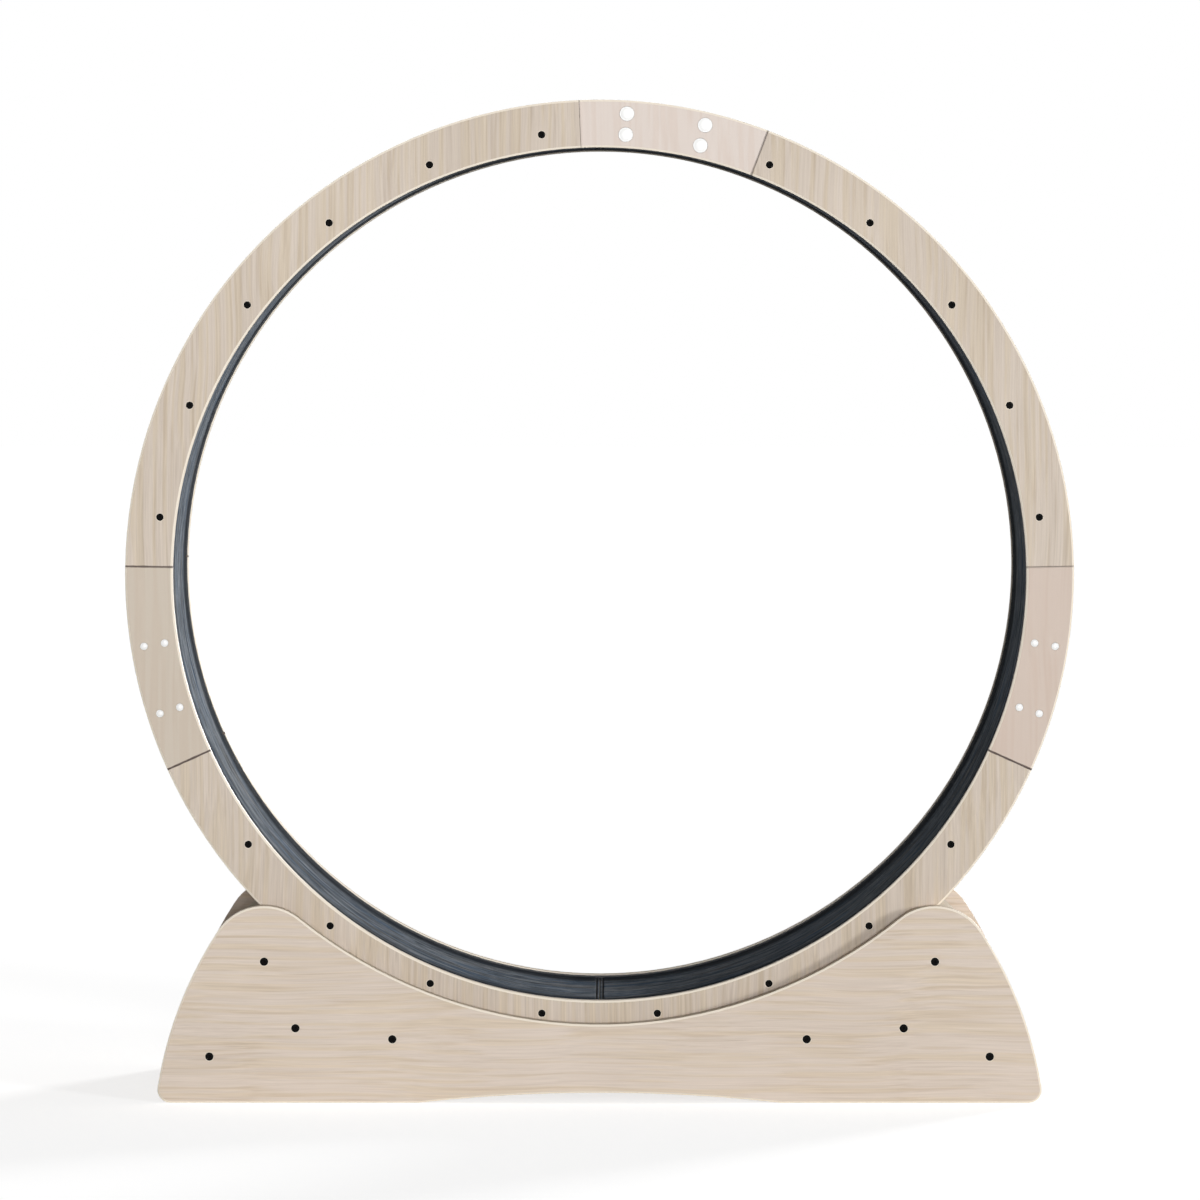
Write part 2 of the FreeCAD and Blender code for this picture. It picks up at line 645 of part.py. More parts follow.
def base_panel(name):
    """The front panel: feet with an arch between, long flanks, humps over the rollers, a hollow top."""
    body = new_body(name)
    sketch = new_sketch(body, "panel_outline", PANEL_INNER)
    reach, corner = value(FOOT_REACH), value("Sizes.foot_corner")
    flank, hump, hollow = value("Sizes.flank_radius"), value("Sizes.hump_radius"), value(HOLLOW_RADIUS)
    arch, rise = value(ARCH_REACH), value("Sizes.arch_rise")
    hump_centre = FreeCAD.Vector(value(ROLLER_X), value(ROLLER_Z), 0)
    corner_centre = FreeCAD.Vector(reach - corner, corner, 0)
    flank_centre = circles_meet(hump_centre, flank - hump, corner_centre, flank - corner)
    hollow_height = hump_centre.y + math.sqrt((hollow + hump) ** 2 - hump_centre.x ** 2)
    hollow_centre = FreeCAD.Vector(0, hollow_height, 0)

    def flip(point):
        return FreeCAD.Vector(-point.x, point.y, 0)

    def arc_between(centre, radius, start, end):
        """The counter-clockwise arc about a centre from one point's direction to another's."""
        angles = [math.atan2(point.y - centre.y, point.x - centre.x) for point in (start, end)]
        circle = Part.Circle(centre, FreeCAD.Vector(0, 0, 1), radius)
        return sketch.addGeometry(Part.ArcOfCircle(circle, *angles))

    floor_end = FreeCAD.Vector(corner_centre.x, 0, 0)
    corner_end = flank_centre + (corner_centre - flank_centre).normalize() * flank
    flank_end = flank_centre + (hump_centre - flank_centre).normalize() * flank
    hump_end = hollow_centre + (hump_centre - hollow_centre).normalize() * hollow
    arch_end = FreeCAD.Vector(arch, 0, 0)
    arch_radius = value(ARCH_RADIUS)
    arch_centre = FreeCAD.Vector(0, rise - arch_radius, 0)

    right_foot = sketch.addGeometry(Part.LineSegment(arch_end, floor_end))
    right_corner = arc_between(corner_centre, corner, floor_end, corner_end)
    right_flank = arc_between(flank_centre, flank, corner_end, flank_end)
    right_hump = arc_between(hump_centre, hump, flank_end, hump_end)
    hollow_arc = arc_between(hollow_centre, hollow, flip(hump_end), hump_end)
    left_hump = arc_between(flip(hump_centre), hump, flip(hump_end), flip(flank_end))
    left_flank = arc_between(flip(flank_centre), flank, flip(flank_end), flip(corner_end))
    left_corner = arc_between(flip(corner_centre), corner, flip(corner_end), flip(floor_end))
    left_foot = sketch.addGeometry(Part.LineSegment(flip(floor_end), flip(arch_end)))
    arch_arc = arc_between(arch_centre, arch_radius, arch_end, flip(arch_end))

    smooth = (
        (right_foot, 2, right_corner, 1), (right_corner, 2, right_flank, 1), (right_flank, 2, right_hump, 1),
        (right_hump, 2, hollow_arc, 2), (hollow_arc, 1, left_hump, 1), (left_hump, 2, left_flank, 1),
        (left_flank, 2, left_corner, 1), (left_corner, 2, left_foot, 1),
    )
    for pair in smooth:
        sketch.addConstraint(Sketcher.Constraint("Tangent", *pair))
    sketch.addConstraint(Sketcher.Constraint("Coincident", left_foot, 2, arch_arc, 2))
    sketch.addConstraint(Sketcher.Constraint("Coincident", arch_arc, 1, right_foot, 1))
    for foot, hump_arc, corner_arc, sign in (
        (right_foot, right_hump, right_corner, ""), (left_foot, left_hump, left_corner, "-"),
    ):
        sketch.addConstraint(Sketcher.Constraint("PointOnObject", foot, 1, -1))
        sketch.addConstraint(Sketcher.Constraint("Horizontal", foot))
        place_point(sketch, hump_arc, 3, f"({sign}{ROLLER_X})", ROLLER_Z)
        reach_formula = f"({sign}1 * ({FOOT_REACH} - Sizes.foot_corner))"
        bind(
            sketch,
            Sketcher.Constraint("DistanceX", -1, 1, corner_arc, 3, value(reach_formula)),
            reach_formula,
        )
        end = 1 if foot == right_foot else 2
        arch_formula = f"({sign}{ARCH_REACH})"
        bind(sketch, Sketcher.Constraint("DistanceX", -1, 1, foot, end, value(arch_formula)), arch_formula)
    radii = (
        (right_corner, "Sizes.foot_corner"), (left_corner, "Sizes.foot_corner"),
        (right_flank, "Sizes.flank_radius"), (left_flank, "Sizes.flank_radius"),
        (right_hump, "Sizes.hump_radius"), (left_hump, "Sizes.hump_radius"),
        (hollow_arc, HOLLOW_RADIUS), (arch_arc, ARCH_RADIUS),
    )
    for arc, formula in radii:
        bind(sketch, Sketcher.Constraint("Radius", arc, value(formula)), formula)

    base = pad(body, sketch, "Sizes.panel_thickness")
    face = -value(PANEL_FACE)
    ease_edges(body, base, "eased_outline", lambda edge: lies_at(edge, face))
    shank = "(Sizes.panel_screw_shank + Sizes.screw_clearance)"
    holes = new_sketch(body, "screw_places", PANEL_FACE)
    for x, z in PANEL_SCREW_PLACES:
        for sign in SIDES.values():
            round_at(holes, f"({sign}{x})", z, shank)
    bore(
        body, holes, "screw_holes", shank, seat="Countersink",
        seat_diameter="(Sizes.panel_screw_head + 2 * Sizes.head_sink)",
    )
    return body


mirrored_to_back(base_panel("base_panel_front"), "base_panel_back")


def crossbar(name, x, z):
    """A square bar between the panels with rounded long edges and a pilot hole in each end."""
    body = new_body(name, x=x, z=z)
    section = new_sketch(body, "section", f"(-{PANEL_INNER})")
    low, high = "(-Sizes.bar_size / 2)", "(Sizes.bar_size / 2)"
    outline(section, [(low, low), (high, low), (high, high), (low, high)])
    base = pad(body, section, f"(2 * {PANEL_INNER})")
    doc.recompute()
    long_edges = [
        f"Edge{index}" for index, edge in enumerate(base.Shape.Edges, start=1)
        if abs(edge.Length - value(f"(2 * {PANEL_INNER})")) < SAME
    ]
    rounding = body.newObject("PartDesign::Fillet", "rounded_edges")
    rounding.Base = (base, long_edges)
    rounding.setExpression("Radius", "Sizes.bar_rounding * 1 mm")
    ends = (("front", PANEL_INNER, False), ("back", f"(-{PANEL_INNER})", True))
    for end_name, plane, backwards in ends:
        hole = new_sketch(body, f"pilot_{end_name}", plane)
        round_at(hole, "0", "0", "(Sizes.panel_screw_shank + Sizes.screw_clearance)")
        pocket(body, hole, PILOT_DEPTH, f"pilot_hole_{end_name}", backwards)
    return body


for side, sign in SIDES.items():
    for place, (x, z) in BAR_PLACES.items():
        crossbar(f"crossbar_{side}_{place}", f"({sign}{x})", z)

panel_screw_places = []
for x, z in PANEL_SCREW_PLACES:
    for sign in (-1, 1):
        depth = value(PANEL_FACE) - value("Sizes.head_sink")
        panel_screw_places += both_sides(sign * value(x), depth, value(z))
panel_screw = countersunk_shape(
    value("Sizes.panel_screw_head"), value("Sizes.panel_screw_shank"), value("Sizes.panel_screw_length")
)
group("panel_screws", panel_screw, panel_screw_places)

# ---- rollers ----------------------------------------------------------------------------


def mirrored_corners(half):
    """A closed outline from one half of it, repeated for the other side of the middle."""
    other = [(radius, f"(-{along})") for radius, along in reversed(half)]
    return half + other


SHAFT_RADIUS = "(Sizes.shaft_diameter / 2)"
SHAFT_BORE = "((Sizes.panel_screw_shank + Sizes.screw_clearance) / 2)"
SLEEVE_BORE = "((Sizes.shaft_diameter + Sizes.shaft_fit) / 2)"
SEAT_RADIUS = "((Sizes.bearing_outer + Sizes.bearing_fit) / 2)"
LAND_HALF = f"({ROLLER_HALF} - Sizes.bearing_width)"


def roller_shaft(name, x):
    """A steel rod from panel to panel, bored at both ends for its screws."""
    body = new_body(name, x=x, z=ROLLER_Z)
    bore_end = f"({PANEL_INNER} - Sizes.shaft_bore_depth)"
    turned_piece(body, mirrored_corners([
        ("0", bore_end),
        (SHAFT_BORE, bore_end),
        (SHAFT_BORE, PANEL_INNER),
        (f"({SHAFT_RADIUS} - Sizes.shaft_chamfer)", PANEL_INNER),
        (SHAFT_RADIUS, f"({PANEL_INNER} - Sizes.shaft_chamfer)"),
    ]))


def roller_hub(name, x, y):
    """A flanged roller body: groove for tyre and ring, webbed sides, a bearing seat each side."""
    body = new_body(name, x=x, y=y, z=ROLLER_Z)
    web_floor = f"({ROLLER_HALF} - Sizes.web_depth)"
    tread = "(Sizes.tyre_radius - Sizes.tyre_depth)"
    turned_piece(body, mirrored_corners([
        ("(Sizes.hub_land_bore / 2)", LAND_HALF),
        (SEAT_RADIUS, LAND_HALF),
        (SEAT_RADIUS, ROLLER_HALF),
        ("Sizes.web_inner", ROLLER_HALF),
        ("Sizes.web_inner", web_floor),
        ("Sizes.web_outer", web_floor),
        ("Sizes.web_outer", ROLLER_HALF),
        ("Sizes.flange_radius", ROLLER_HALF),
        ("Sizes.flange_radius", f"({GROOVE_HALF} + Sizes.flange_flare)"),
        (tread, GROOVE_HALF),
    ]))


def roller_tyre(name, x, y):
    """The soft tread between the flanges, which carries the ring."""
    body = new_body(name, x=x, y=y, z=ROLLER_Z)
    half = f"({GROOVE_HALF} - Sizes.layer_gap)"
    turned_piece(body, mirrored_corners([
        ("(Sizes.tyre_radius - Sizes.tyre_depth + Sizes.layer_gap / 2)", half),
        ("(Sizes.tyre_radius - Sizes.tyre_chamfer)", half),
        ("Sizes.tyre_radius", f"({half} - Sizes.tyre_chamfer)"),
    ]))


def roller_bearings(name, x, y):
    """A ball bearing in each side of the roller, with a sunk shield between its races."""
    body = new_body(name, x=x, y=y, z=ROLLER_Z)
    outer = "(Sizes.bearing_outer / 2)"
    inner = SLEEVE_BORE
    near, far = LAND_HALF, ROLLER_HALF
    shield_inner = f"({inner} + Sizes.race_width)"
    shield_outer = f"({outer} - Sizes.race_width)"
    sunk_near, sunk_far = f"({near} + Sizes.shield_sink)", f"({far} - Sizes.shield_sink)"
    spin = turned_piece(body, [
        (inner, near), (shield_inner, near), (shield_inner, sunk_near), (shield_outer, sunk_near),
        (shield_outer, near), (outer, near), (outer, far), (shield_outer, far),
        (shield_outer, sunk_far), (shield_inner, sunk_far), (shield_inner, far), (inner, far),
    ])
    other = body.newObject("PartDesign::Mirrored", "other_side")
    other.Originals = [spin]
    other.MirrorPlane = (origin_feature(body, "XZ_Plane"), [""])
    body.Tip = other


def sleeve_set(name, near, far, wall):
    """Four sleeves on the shafts, one beside each roller, between two distances from the middle."""
    inner = value(SLEEVE_BORE)
    outer = inner + value(wall)
    start, end = value(near), value(far)
    shape = turned_shape([(inner, start), (outer, start), (outer, end), (inner, end)])
    places = []
    for sign in (-1, 1):
        places += both_sides(sign * value(ROLLER_X), 0, value(ROLLER_Z))
    group(name, shape, places)


for side, sign in SIDES.items():
    x = f"({sign}{ROLLER_X})"
    roller_shaft(f"roller_shaft_{side}", x)
    for depth, y in (("front", f"(-{ROLLER_Y})"), ("back", ROLLER_Y)):
        roller_hub(f"roller_hub_{depth}_{side}", x, y)
        roller_tyre(f"roller_tyre_{depth}_{side}", x, y)
        roller_bearings(f"roller_bearings_{depth}_{side}", x, y)

ROLLER_OUTSIDE = f"({ROLLER_Y} + {ROLLER_HALF} + Sizes.end_play)"
ROLLER_INSIDE = f"({ROLLER_Y} - {ROLLER_HALF} - Sizes.end_play)"
sleeve_set("shaft_spacers", ROLLER_OUTSIDE, PANEL_INNER, "Sizes.spacer_wall")
sleeve_set("shaft_collars", f"({ROLLER_INSIDE} - Sizes.collar_width)", ROLLER_INSIDE, "Sizes.collar_wall")

# ---- checks and files -------------------------------------------------------------------

doc.recompute()
for item in doc.Objects:
    state = [word for word in item.State if word in ("Invalid", "Error")]
    if state:
        raise RuntimeError(f"{item.Name} ({item.Label}) is {state}")
    if item.TypeId in CUT_TYPES and item.BaseFeature is not None:
        if item.Shape.Volume > item.BaseFeature.Shape.Volume - SMALLEST_CUT:
            raise RuntimeError(f"{item.Name} cut nothing")
for part in sub_parts:
    if part.Shape.isNull() or not part.Shape.isValid():
        raise RuntimeError(f"{part.Label} has no valid shape")

os.makedirs("parts", exist_ok=True)
for part in sub_parts:
    part.Shape.exportStep(f"parts/{part.Label}.step")
    print(f"{part.Label}: {len(part.Shape.Solids)} solids, {part.Shape.Volume / 1000:.1f} cm3")
print(f"{len(sub_parts)} nodes")
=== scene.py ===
# %% [markdown]
# # A cat exercise wheel
# A big running wheel with pale wood sides and a dark carpet track rolls on four small wheels
# between two base panels. The boards, bars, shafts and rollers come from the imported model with
# their true shapes. This lesson gives them their finishes, and models what a plain solid can't
# show: the ribbed carpet, the screw heads and the small cover caps.

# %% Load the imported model
import json
import math

import bmesh
import bpy
import numpy as np
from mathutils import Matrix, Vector


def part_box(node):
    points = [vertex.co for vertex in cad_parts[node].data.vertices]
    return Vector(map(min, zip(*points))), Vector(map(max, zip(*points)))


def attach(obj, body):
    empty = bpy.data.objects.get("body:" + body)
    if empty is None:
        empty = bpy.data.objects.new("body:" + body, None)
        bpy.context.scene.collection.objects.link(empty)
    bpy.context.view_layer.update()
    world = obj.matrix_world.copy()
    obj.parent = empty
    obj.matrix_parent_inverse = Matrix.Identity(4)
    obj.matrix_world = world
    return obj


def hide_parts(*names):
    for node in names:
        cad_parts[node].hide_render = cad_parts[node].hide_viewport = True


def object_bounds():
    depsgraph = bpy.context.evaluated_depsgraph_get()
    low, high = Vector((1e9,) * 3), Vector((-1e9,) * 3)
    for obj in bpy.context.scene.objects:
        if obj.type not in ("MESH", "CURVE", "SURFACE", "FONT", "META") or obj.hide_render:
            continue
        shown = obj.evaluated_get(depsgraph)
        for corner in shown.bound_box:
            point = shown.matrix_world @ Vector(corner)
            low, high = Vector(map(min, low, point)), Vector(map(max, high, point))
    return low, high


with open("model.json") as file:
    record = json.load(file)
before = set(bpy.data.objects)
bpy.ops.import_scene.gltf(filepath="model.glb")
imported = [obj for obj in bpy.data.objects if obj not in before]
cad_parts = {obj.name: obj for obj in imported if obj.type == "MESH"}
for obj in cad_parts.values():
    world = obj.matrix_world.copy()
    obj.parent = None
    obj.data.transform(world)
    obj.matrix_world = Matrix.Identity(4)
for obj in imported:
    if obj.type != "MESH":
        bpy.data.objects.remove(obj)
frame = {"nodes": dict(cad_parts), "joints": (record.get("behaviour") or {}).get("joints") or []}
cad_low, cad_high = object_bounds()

scene = bpy.context.scene
nodes = frame["nodes"]

# %% [markdown]
# ## Where things are
# The wheel's axis runs along Y. Its height, the ring's radii and the face planes are read from the
# model's own boxes, so every pattern and every new piece follows the model.

# %% Measure the wheel
spin = next(joint for joint in frame["joints"] if joint["name"] == "wheel_spin")
AXIS_Z = spin["pos_m"][2]
ring_box = [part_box(name) for name in nodes if name.startswith("ring_")]
RING_OUTER = max(high.z for low, high in ring_box) - AXIS_Z
RING_FACE = max(high.y for low, high in ring_box)
MAT_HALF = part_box("mat_left")[1].y
MAT_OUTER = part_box("mat_left")[1].z - AXIS_Z
print(f"axis at {AXIS_Z:.3f} m, ring radius {RING_OUTER:.4f} m, mat half width {MAT_HALF:.4f} m")

MM = 0.001


def srgb(red, green, blue):
    """A colour picked on a screen, from 0 to 255, as the linear colour that shaders use."""
    def linear(part):
        part /= 255
        return part / 12.92 if part <= 0.04045 else ((part + 0.055) / 1.055) ** 2.4

    return (linear(red), linear(green), linear(blue), 1.0)


# %% [markdown]
# ## The camera
# The photograph was taken from far away with a long lens, a little above the wheel's axis. The far
# ring looks 3.6% smaller than the near one, which puts the camera about 8.4 m in front of it. The
# picture spans 1.263 m at the near ring, and that gives the lens.

# %% Place the camera
CAMERA_DISTANCE = 8.36
CAMERA_SIDE = 0.0145
CAMERA_RISE = 0.325
AIM_SIDE = 0.0005
AIM_HEIGHT = 0.5287
PICTURE_SPAN = 1.2631
SENSOR = 36.0
aim = Vector((AIM_SIDE, -RING_FACE, AIM_HEIGHT))
camera_data = bpy.data.cameras.new("camera")
camera_data.sensor_width = SENSOR
camera_data.lens = SENSOR * CAMERA_DISTANCE / PICTURE_SPAN
camera_data.clip_end = 100.0
camera = bpy.data.objects.new("camera", camera_data)
scene.collection.objects.link(camera)
camera.location = (CAMERA_SIDE, -RING_FACE - CAMERA_DISTANCE, AXIS_Z + CAMERA_RISE)
camera.rotation_mode = "QUATERNION"
camera.rotation_quaternion = (aim - camera.location).to_track_quat("-Z", "Y")
scene.camera = camera
scene.view_settings.view_transform = "Standard"
print(f"lens {camera_data.lens:.0f} mm")

# %% [markdown]
# ## Small helpers for shader nodes
# Building nodes by hand takes three lines each. These helpers take a node's type, its inputs and
# its settings together, so that a material reads like a recipe. An input may be a plain value or
# another node's output.

# %% Node helpers


def put(tree, kind, inputs=None, **settings):
    """Add a node, set its options, and fill its inputs with values or links."""
    made = tree.nodes.new(kind)
    for name, setting in settings.items():
        setattr(made, name, setting)
    for label, given in (inputs or {}).items():
        if isinstance(given, bpy.types.NodeSocket):
            tree.links.new(given, made.inputs[label])
        else:
            made.inputs[label].default_value = given
    return made


def calc(tree, operation, first, second=0.0, clamp=False):
    """One arithmetic step on two numbers or outputs."""
    inputs = {0: first, 1: second}
    return put(tree, "ShaderNodeMath", inputs, operation=operation, use_clamp=clamp).outputs[0]


def vector_calc(tree, operation, first, second=(0, 0, 0)):
    """One arithmetic step on two vectors."""
    inputs = {0: first, 1: second}
    return put(tree, "ShaderNodeVectorMath", inputs, operation=operation).outputs[0]


def hypotenuse(tree, first, second):
    """How far away a point is that lies this far off in two directions at a right angle."""
    squares = [calc(tree, "MULTIPLY", part, part) for part in (first, second)]
    return calc(tree, "SQRT", calc(tree, "ADD", *squares))


def split_at_axis(tree, place):
    """A point's X and Y, and its height above the wheel's axis."""
    parts = put(tree, "ShaderNodeSeparateXYZ", {0: place}).outputs
    return parts["X"], parts["Y"], calc(tree, "SUBTRACT", parts["Z"], AXIS_Z)


def ramp(tree, source, low, high, out_low=0.0, out_high=1.0):
    """Turn the stretch from low to high into out_low to out_high, smoothly."""
    inputs = {0: source, 1: low, 2: high, 3: out_low, 4: out_high}
    return put(tree, "ShaderNodeMapRange", inputs, interpolation_type="SMOOTHSTEP").outputs[0]


def blend_colours(tree, share, first, second, mode="MIX"):
    """Mix two colours by a share from 0 to 1."""
    inputs = {0: share, 6: first, 7: second}
    return put(tree, "ShaderNodeMix", inputs, data_type="RGBA", blend_type=mode).outputs[2]


def noise(tree, vector, scale, detail=2.0, roughness=0.5):
    """Soft random variation, from about 0.3 to 0.7."""
    inputs = {"Vector": vector, "Scale": scale, "Detail": detail, "Roughness": roughness}
    return put(tree, "ShaderNodeTexNoise", inputs).outputs["Fac"]


def new_group(name, inputs, outputs):
    """An empty node group with named sockets."""
    group = bpy.data.node_groups.new(name, "ShaderNodeTree")
    for label, kind, default in inputs:
        socket = group.interface.new_socket(label, in_out="INPUT", socket_type=kind)
        if default is not None:
            socket.default_value = default
    for label, kind in outputs:
        group.interface.new_socket(label, in_out="OUTPUT", socket_type=kind)
    return group, put(group, "NodeGroupInput"), put(group, "NodeGroupOutput")


def use_group(tree, group, inputs):
    """Place a node group in a material."""
    return put(tree, "ShaderNodeGroup", inputs, node_tree=group)


SOCKET_LABELS = {"metallic": "Metallic", "shine": "Specular IOR Level"}


def new_material(name, roughness=0.5, **sockets):
    """A material with one Principled shader, and the position of each point on the piece."""
    material = bpy.data.materials.new(name)
    material.use_nodes = True
    tree = material.node_tree
    shader = tree.nodes["Principled BSDF"]
    shader.inputs["Roughness"].default_value = roughness
    for label, given in sockets.items():
        shader.inputs[SOCKET_LABELS[label]].default_value = given
    place = put(tree, "ShaderNodeTexCoord").outputs["Object"]
    return material, tree, shader, place


def bump(tree, shader, height, distance, strength=1.0, over=None):
    """Feed small relief, in metres, to a shader's normal."""
    inputs = {"Height": height, "Distance": distance, "Strength": strength}
    made = put(tree, "ShaderNodeBump", inputs)
    if over is not None:
        tree.links.new(over, made.inputs["Normal"])
    tree.links.new(made.outputs[0], shader.inputs["Normal"])


def surface_normal(tree):
    """The way that the real surface looks, without any relief."""
    return put(tree, "ShaderNodeNewGeometry").outputs["True Normal"]


F, C, V = "NodeSocketFloat", "NodeSocketColor", "NodeSocketVector"
print("group sockets:", F, C, V)

# %% [markdown]
# ## The wood grain
# Every board has the same pale oak print, with grain up and down on the rings and level on the
# base. A real print is long fine streaks, broader bands of tone and short dark pores. One node
# group makes all three from noise that is squeezed across the grain and drawn out along it. The
# rings, plates, panels, bars and plywood each use it with their own tones and scale.

# %% Build the grain group
grain_group, given, result = new_group(
    "wood_grain",
    [("Position", V, None), ("Squeeze", V, (300.0, 300.0, 14.0)), ("Light", C, (1, 1, 1, 1)),
     ("Dark", C, (0, 0, 0, 1)), ("Contrast", F, 1.0), ("Pores", F, 0.3), ("Tint", C, (1, 1, 1, 1)),
     ("Tint Amount", F, 0.0)],
    [("Color", C), ("Height", F)],
)
MIDDLE = 0.5
SWAY_REACH = 12 * MM
FINE_WEIGHT = 1.6
BAND_WEIGHT, BAND_SCALE = 0.45, 0.16
CLOUD_WEIGHT, CLOUD_SCALE = 0.6, 5.0
TINT_SCALE = 0.31
PORE_SQUEEZE = 0.62


def swing(source, weight):
    """How far a noise lies above or below its middle, times a weight."""
    return calc(grain_group, "MULTIPLY", calc(grain_group, "SUBTRACT", source, MIDDLE), weight)


spot = given.outputs["Position"]
sway_noise = {"Vector": spot, "Scale": 7.0, "Detail": 1.0}
sway = put(grain_group, "ShaderNodeTexNoise", sway_noise).outputs["Color"]
sway = vector_calc(grain_group, "SUBTRACT", sway, (MIDDLE,) * 3)
sway = vector_calc(grain_group, "MULTIPLY", sway, (SWAY_REACH,) * 3)
spot = vector_calc(grain_group, "ADD", spot, sway)
along = vector_calc(grain_group, "MULTIPLY", spot, given.outputs["Squeeze"])
fine = noise(grain_group, along, 1.0, 4.0, 0.62)
bands = noise(grain_group, along, BAND_SCALE)
clouds = noise(grain_group, spot, CLOUD_SCALE, 1.0)
tone = calc(grain_group, "ADD", swing(fine, FINE_WEIGHT), swing(bands, BAND_WEIGHT))
tone = calc(grain_group, "ADD", tone, swing(clouds, CLOUD_WEIGHT))
tone = calc(grain_group, "MULTIPLY", tone, given.outputs["Contrast"])
tone = calc(grain_group, "ADD", tone, MIDDLE, clamp=True)
colour = blend_colours(grain_group, tone, given.outputs["Light"], given.outputs["Dark"])
tint_noise = ramp(grain_group, noise(grain_group, along, TINT_SCALE, 1.0), 0.42, 0.62)
tint_share = calc(grain_group, "MULTIPLY", tint_noise, given.outputs["Tint Amount"])
colour = blend_colours(grain_group, tint_share, colour, given.outputs["Tint"], "MULTIPLY")
pore_spot = vector_calc(grain_group, "MULTIPLY", along, (PORE_SQUEEZE,) * 3)
pores = ramp(grain_group, noise(grain_group, pore_spot, 1.0, 3.0), 0.5, 0.72)
pore_share = calc(grain_group, "MULTIPLY", pores, given.outputs["Pores"])
colour = blend_colours(grain_group, pore_share, colour, given.outputs["Dark"], "MULTIPLY")
grain_group.links.new(colour, result.inputs["Color"])
grain_group.links.new(calc(grain_group, "SUBTRACT", fine, pore_share), result.inputs["Height"])
print("grain group:", len(grain_group.nodes), "nodes")

# %% [markdown]
# ## Sawn and eased edges
# Where a laminated board is cut, its pale core shows: a thin cream line round each face, where the
# edge is eased at 45 degrees, and a plain pale core on the edge itself. The cream line is much paler
# than the sawn core, because it carries a painted highlight on top of the core's own colour. Both can
# be told from the board's face by which way the surface looks. All faces here look along Y, so the Y
# part of the normal is 1 on a face, 0.7 on an eased edge and 0 on a sawn edge. A hand-eased edge is a
# little round, so its shading normal leans towards the face, and it catches the light of the front.

# %% Build the edge group
edge_group, given, result = new_group(
    "board_edges", [("Normal", V, None), ("Softness", F, 3.5)],
    [("Eased", F), ("Sawn", F), ("Soft Normal", V)],
)
FACE_TURN = 0.95
SAWN_TURN = 0.35
side = put(edge_group, "ShaderNodeSeparateXYZ", {0: given.outputs["Normal"]}).outputs["Y"]
facing = calc(edge_group, "ABSOLUTE", side)
not_face = calc(edge_group, "LESS_THAN", facing, FACE_TURN)
sawn = calc(edge_group, "LESS_THAN", facing, SAWN_TURN)
eased = calc(edge_group, "SUBTRACT", not_face, sawn)
lean = calc(edge_group, "MULTIPLY", calc(edge_group, "SIGN", side), given.outputs["Softness"])
lean = calc(edge_group, "MULTIPLY", lean, eased)
lean = put(edge_group, "ShaderNodeCombineXYZ", {1: lean}).outputs[0]
soft = vector_calc(edge_group, "ADD", given.outputs["Normal"], lean)
soft = vector_calc(edge_group, "NORMALIZE", soft)
edge_group.links.new(eased, result.inputs["Eased"])
edge_group.links.new(sawn, result.inputs["Sawn"])
edge_group.links.new(soft, result.inputs["Soft Normal"])
print("edge group:", len(edge_group.nodes), "nodes")

# %% [markdown]
# Towards the track each ring's face is painted dark, as painted shade: a narrow band that shows
# between the carpet and the pale edge of the far ring, where the ring stands proud of the carpet and
# keeps the light off. It lies on the face that looks inwards, within the radius of the carpet's back.

# %% Build the group for the painted inside shade
inside_shade_group, given, result = new_group(
    "inside_lining", [("Position", V, None), ("Normal", V, None)], [("Lined", F)]
)
SHADE_PAST_MAT = 3 * MM
to_right, depth, up = split_at_axis(inside_shade_group, given.outputs["Position"])
normal_y = put(inside_shade_group, "ShaderNodeSeparateXYZ", {0: given.outputs["Normal"]}).outputs["Y"]
reach = hypotenuse(inside_shade_group, to_right, up)
outwards = calc(inside_shade_group, "MULTIPLY", normal_y, calc(inside_shade_group, "SIGN", depth))
looks_in = calc(inside_shade_group, "LESS_THAN", outwards, -FACE_TURN)
near_track = calc(inside_shade_group, "LESS_THAN", reach, MAT_OUTER + SHADE_PAST_MAT)
# Painted shade: inward faces near the track are marked for a dark colour.
shade_inside = calc(inside_shade_group, "MULTIPLY", looks_in, near_track)
inside_shade_group.links.new(shade_inside, result.inputs["Lined"])
print("lining group:", len(inside_shade_group.nodes), "nodes")

# %% [markdown]
# ## Dark lines at the joints
# The splice plates are cut with a hot beam, which browns the wood beside the cut. A group measures
# how far a point lies from a line that runs out from the wheel's axis at one angle, and darkens the
# wood close to it. The line wanders a little, so that it isn't ruled.

# %% Build the joint line group
line_group, given, result = new_group(
    "joint_line", [("Position", V, None), ("Angle", F, 0.0), ("Half Width", F, 1 * MM)],
    [("Line", F)],
)
LINE_WANDER = 1.2 * MM
to_right, _, up = split_at_axis(line_group, given.outputs["Position"])
sine = calc(line_group, "SINE", given.outputs["Angle"])
cosine = calc(line_group, "COSINE", given.outputs["Angle"])
across = calc(
    line_group, "SUBTRACT",
    calc(line_group, "MULTIPLY", to_right, cosine), calc(line_group, "MULTIPLY", up, sine),
)
out = calc(
    line_group, "ADD",
    calc(line_group, "MULTIPLY", to_right, sine), calc(line_group, "MULTIPLY", up, cosine),
)
wander = noise(line_group, given.outputs["Position"], 90.0)
wander = calc(line_group, "MULTIPLY", wander, LINE_WANDER)
wander = calc(line_group, "SUBTRACT", wander, LINE_WANDER / 2)
across = calc(line_group, "ADD", calc(line_group, "ABSOLUTE", across), wander)
widths_off = calc(line_group, "DIVIDE", across, given.outputs["Half Width"])
near = calc(line_group, "SUBTRACT", 1.0, widths_off, clamp=True)
near = ramp(line_group, near, 0.0, 0.6)
outward = calc(line_group, "GREATER_THAN", out, 0.0)
line_group.links.new(calc(line_group, "MULTIPLY", near, outward), result.inputs["Line"])
print("joint line group:", len(line_group.nodes), "nodes")

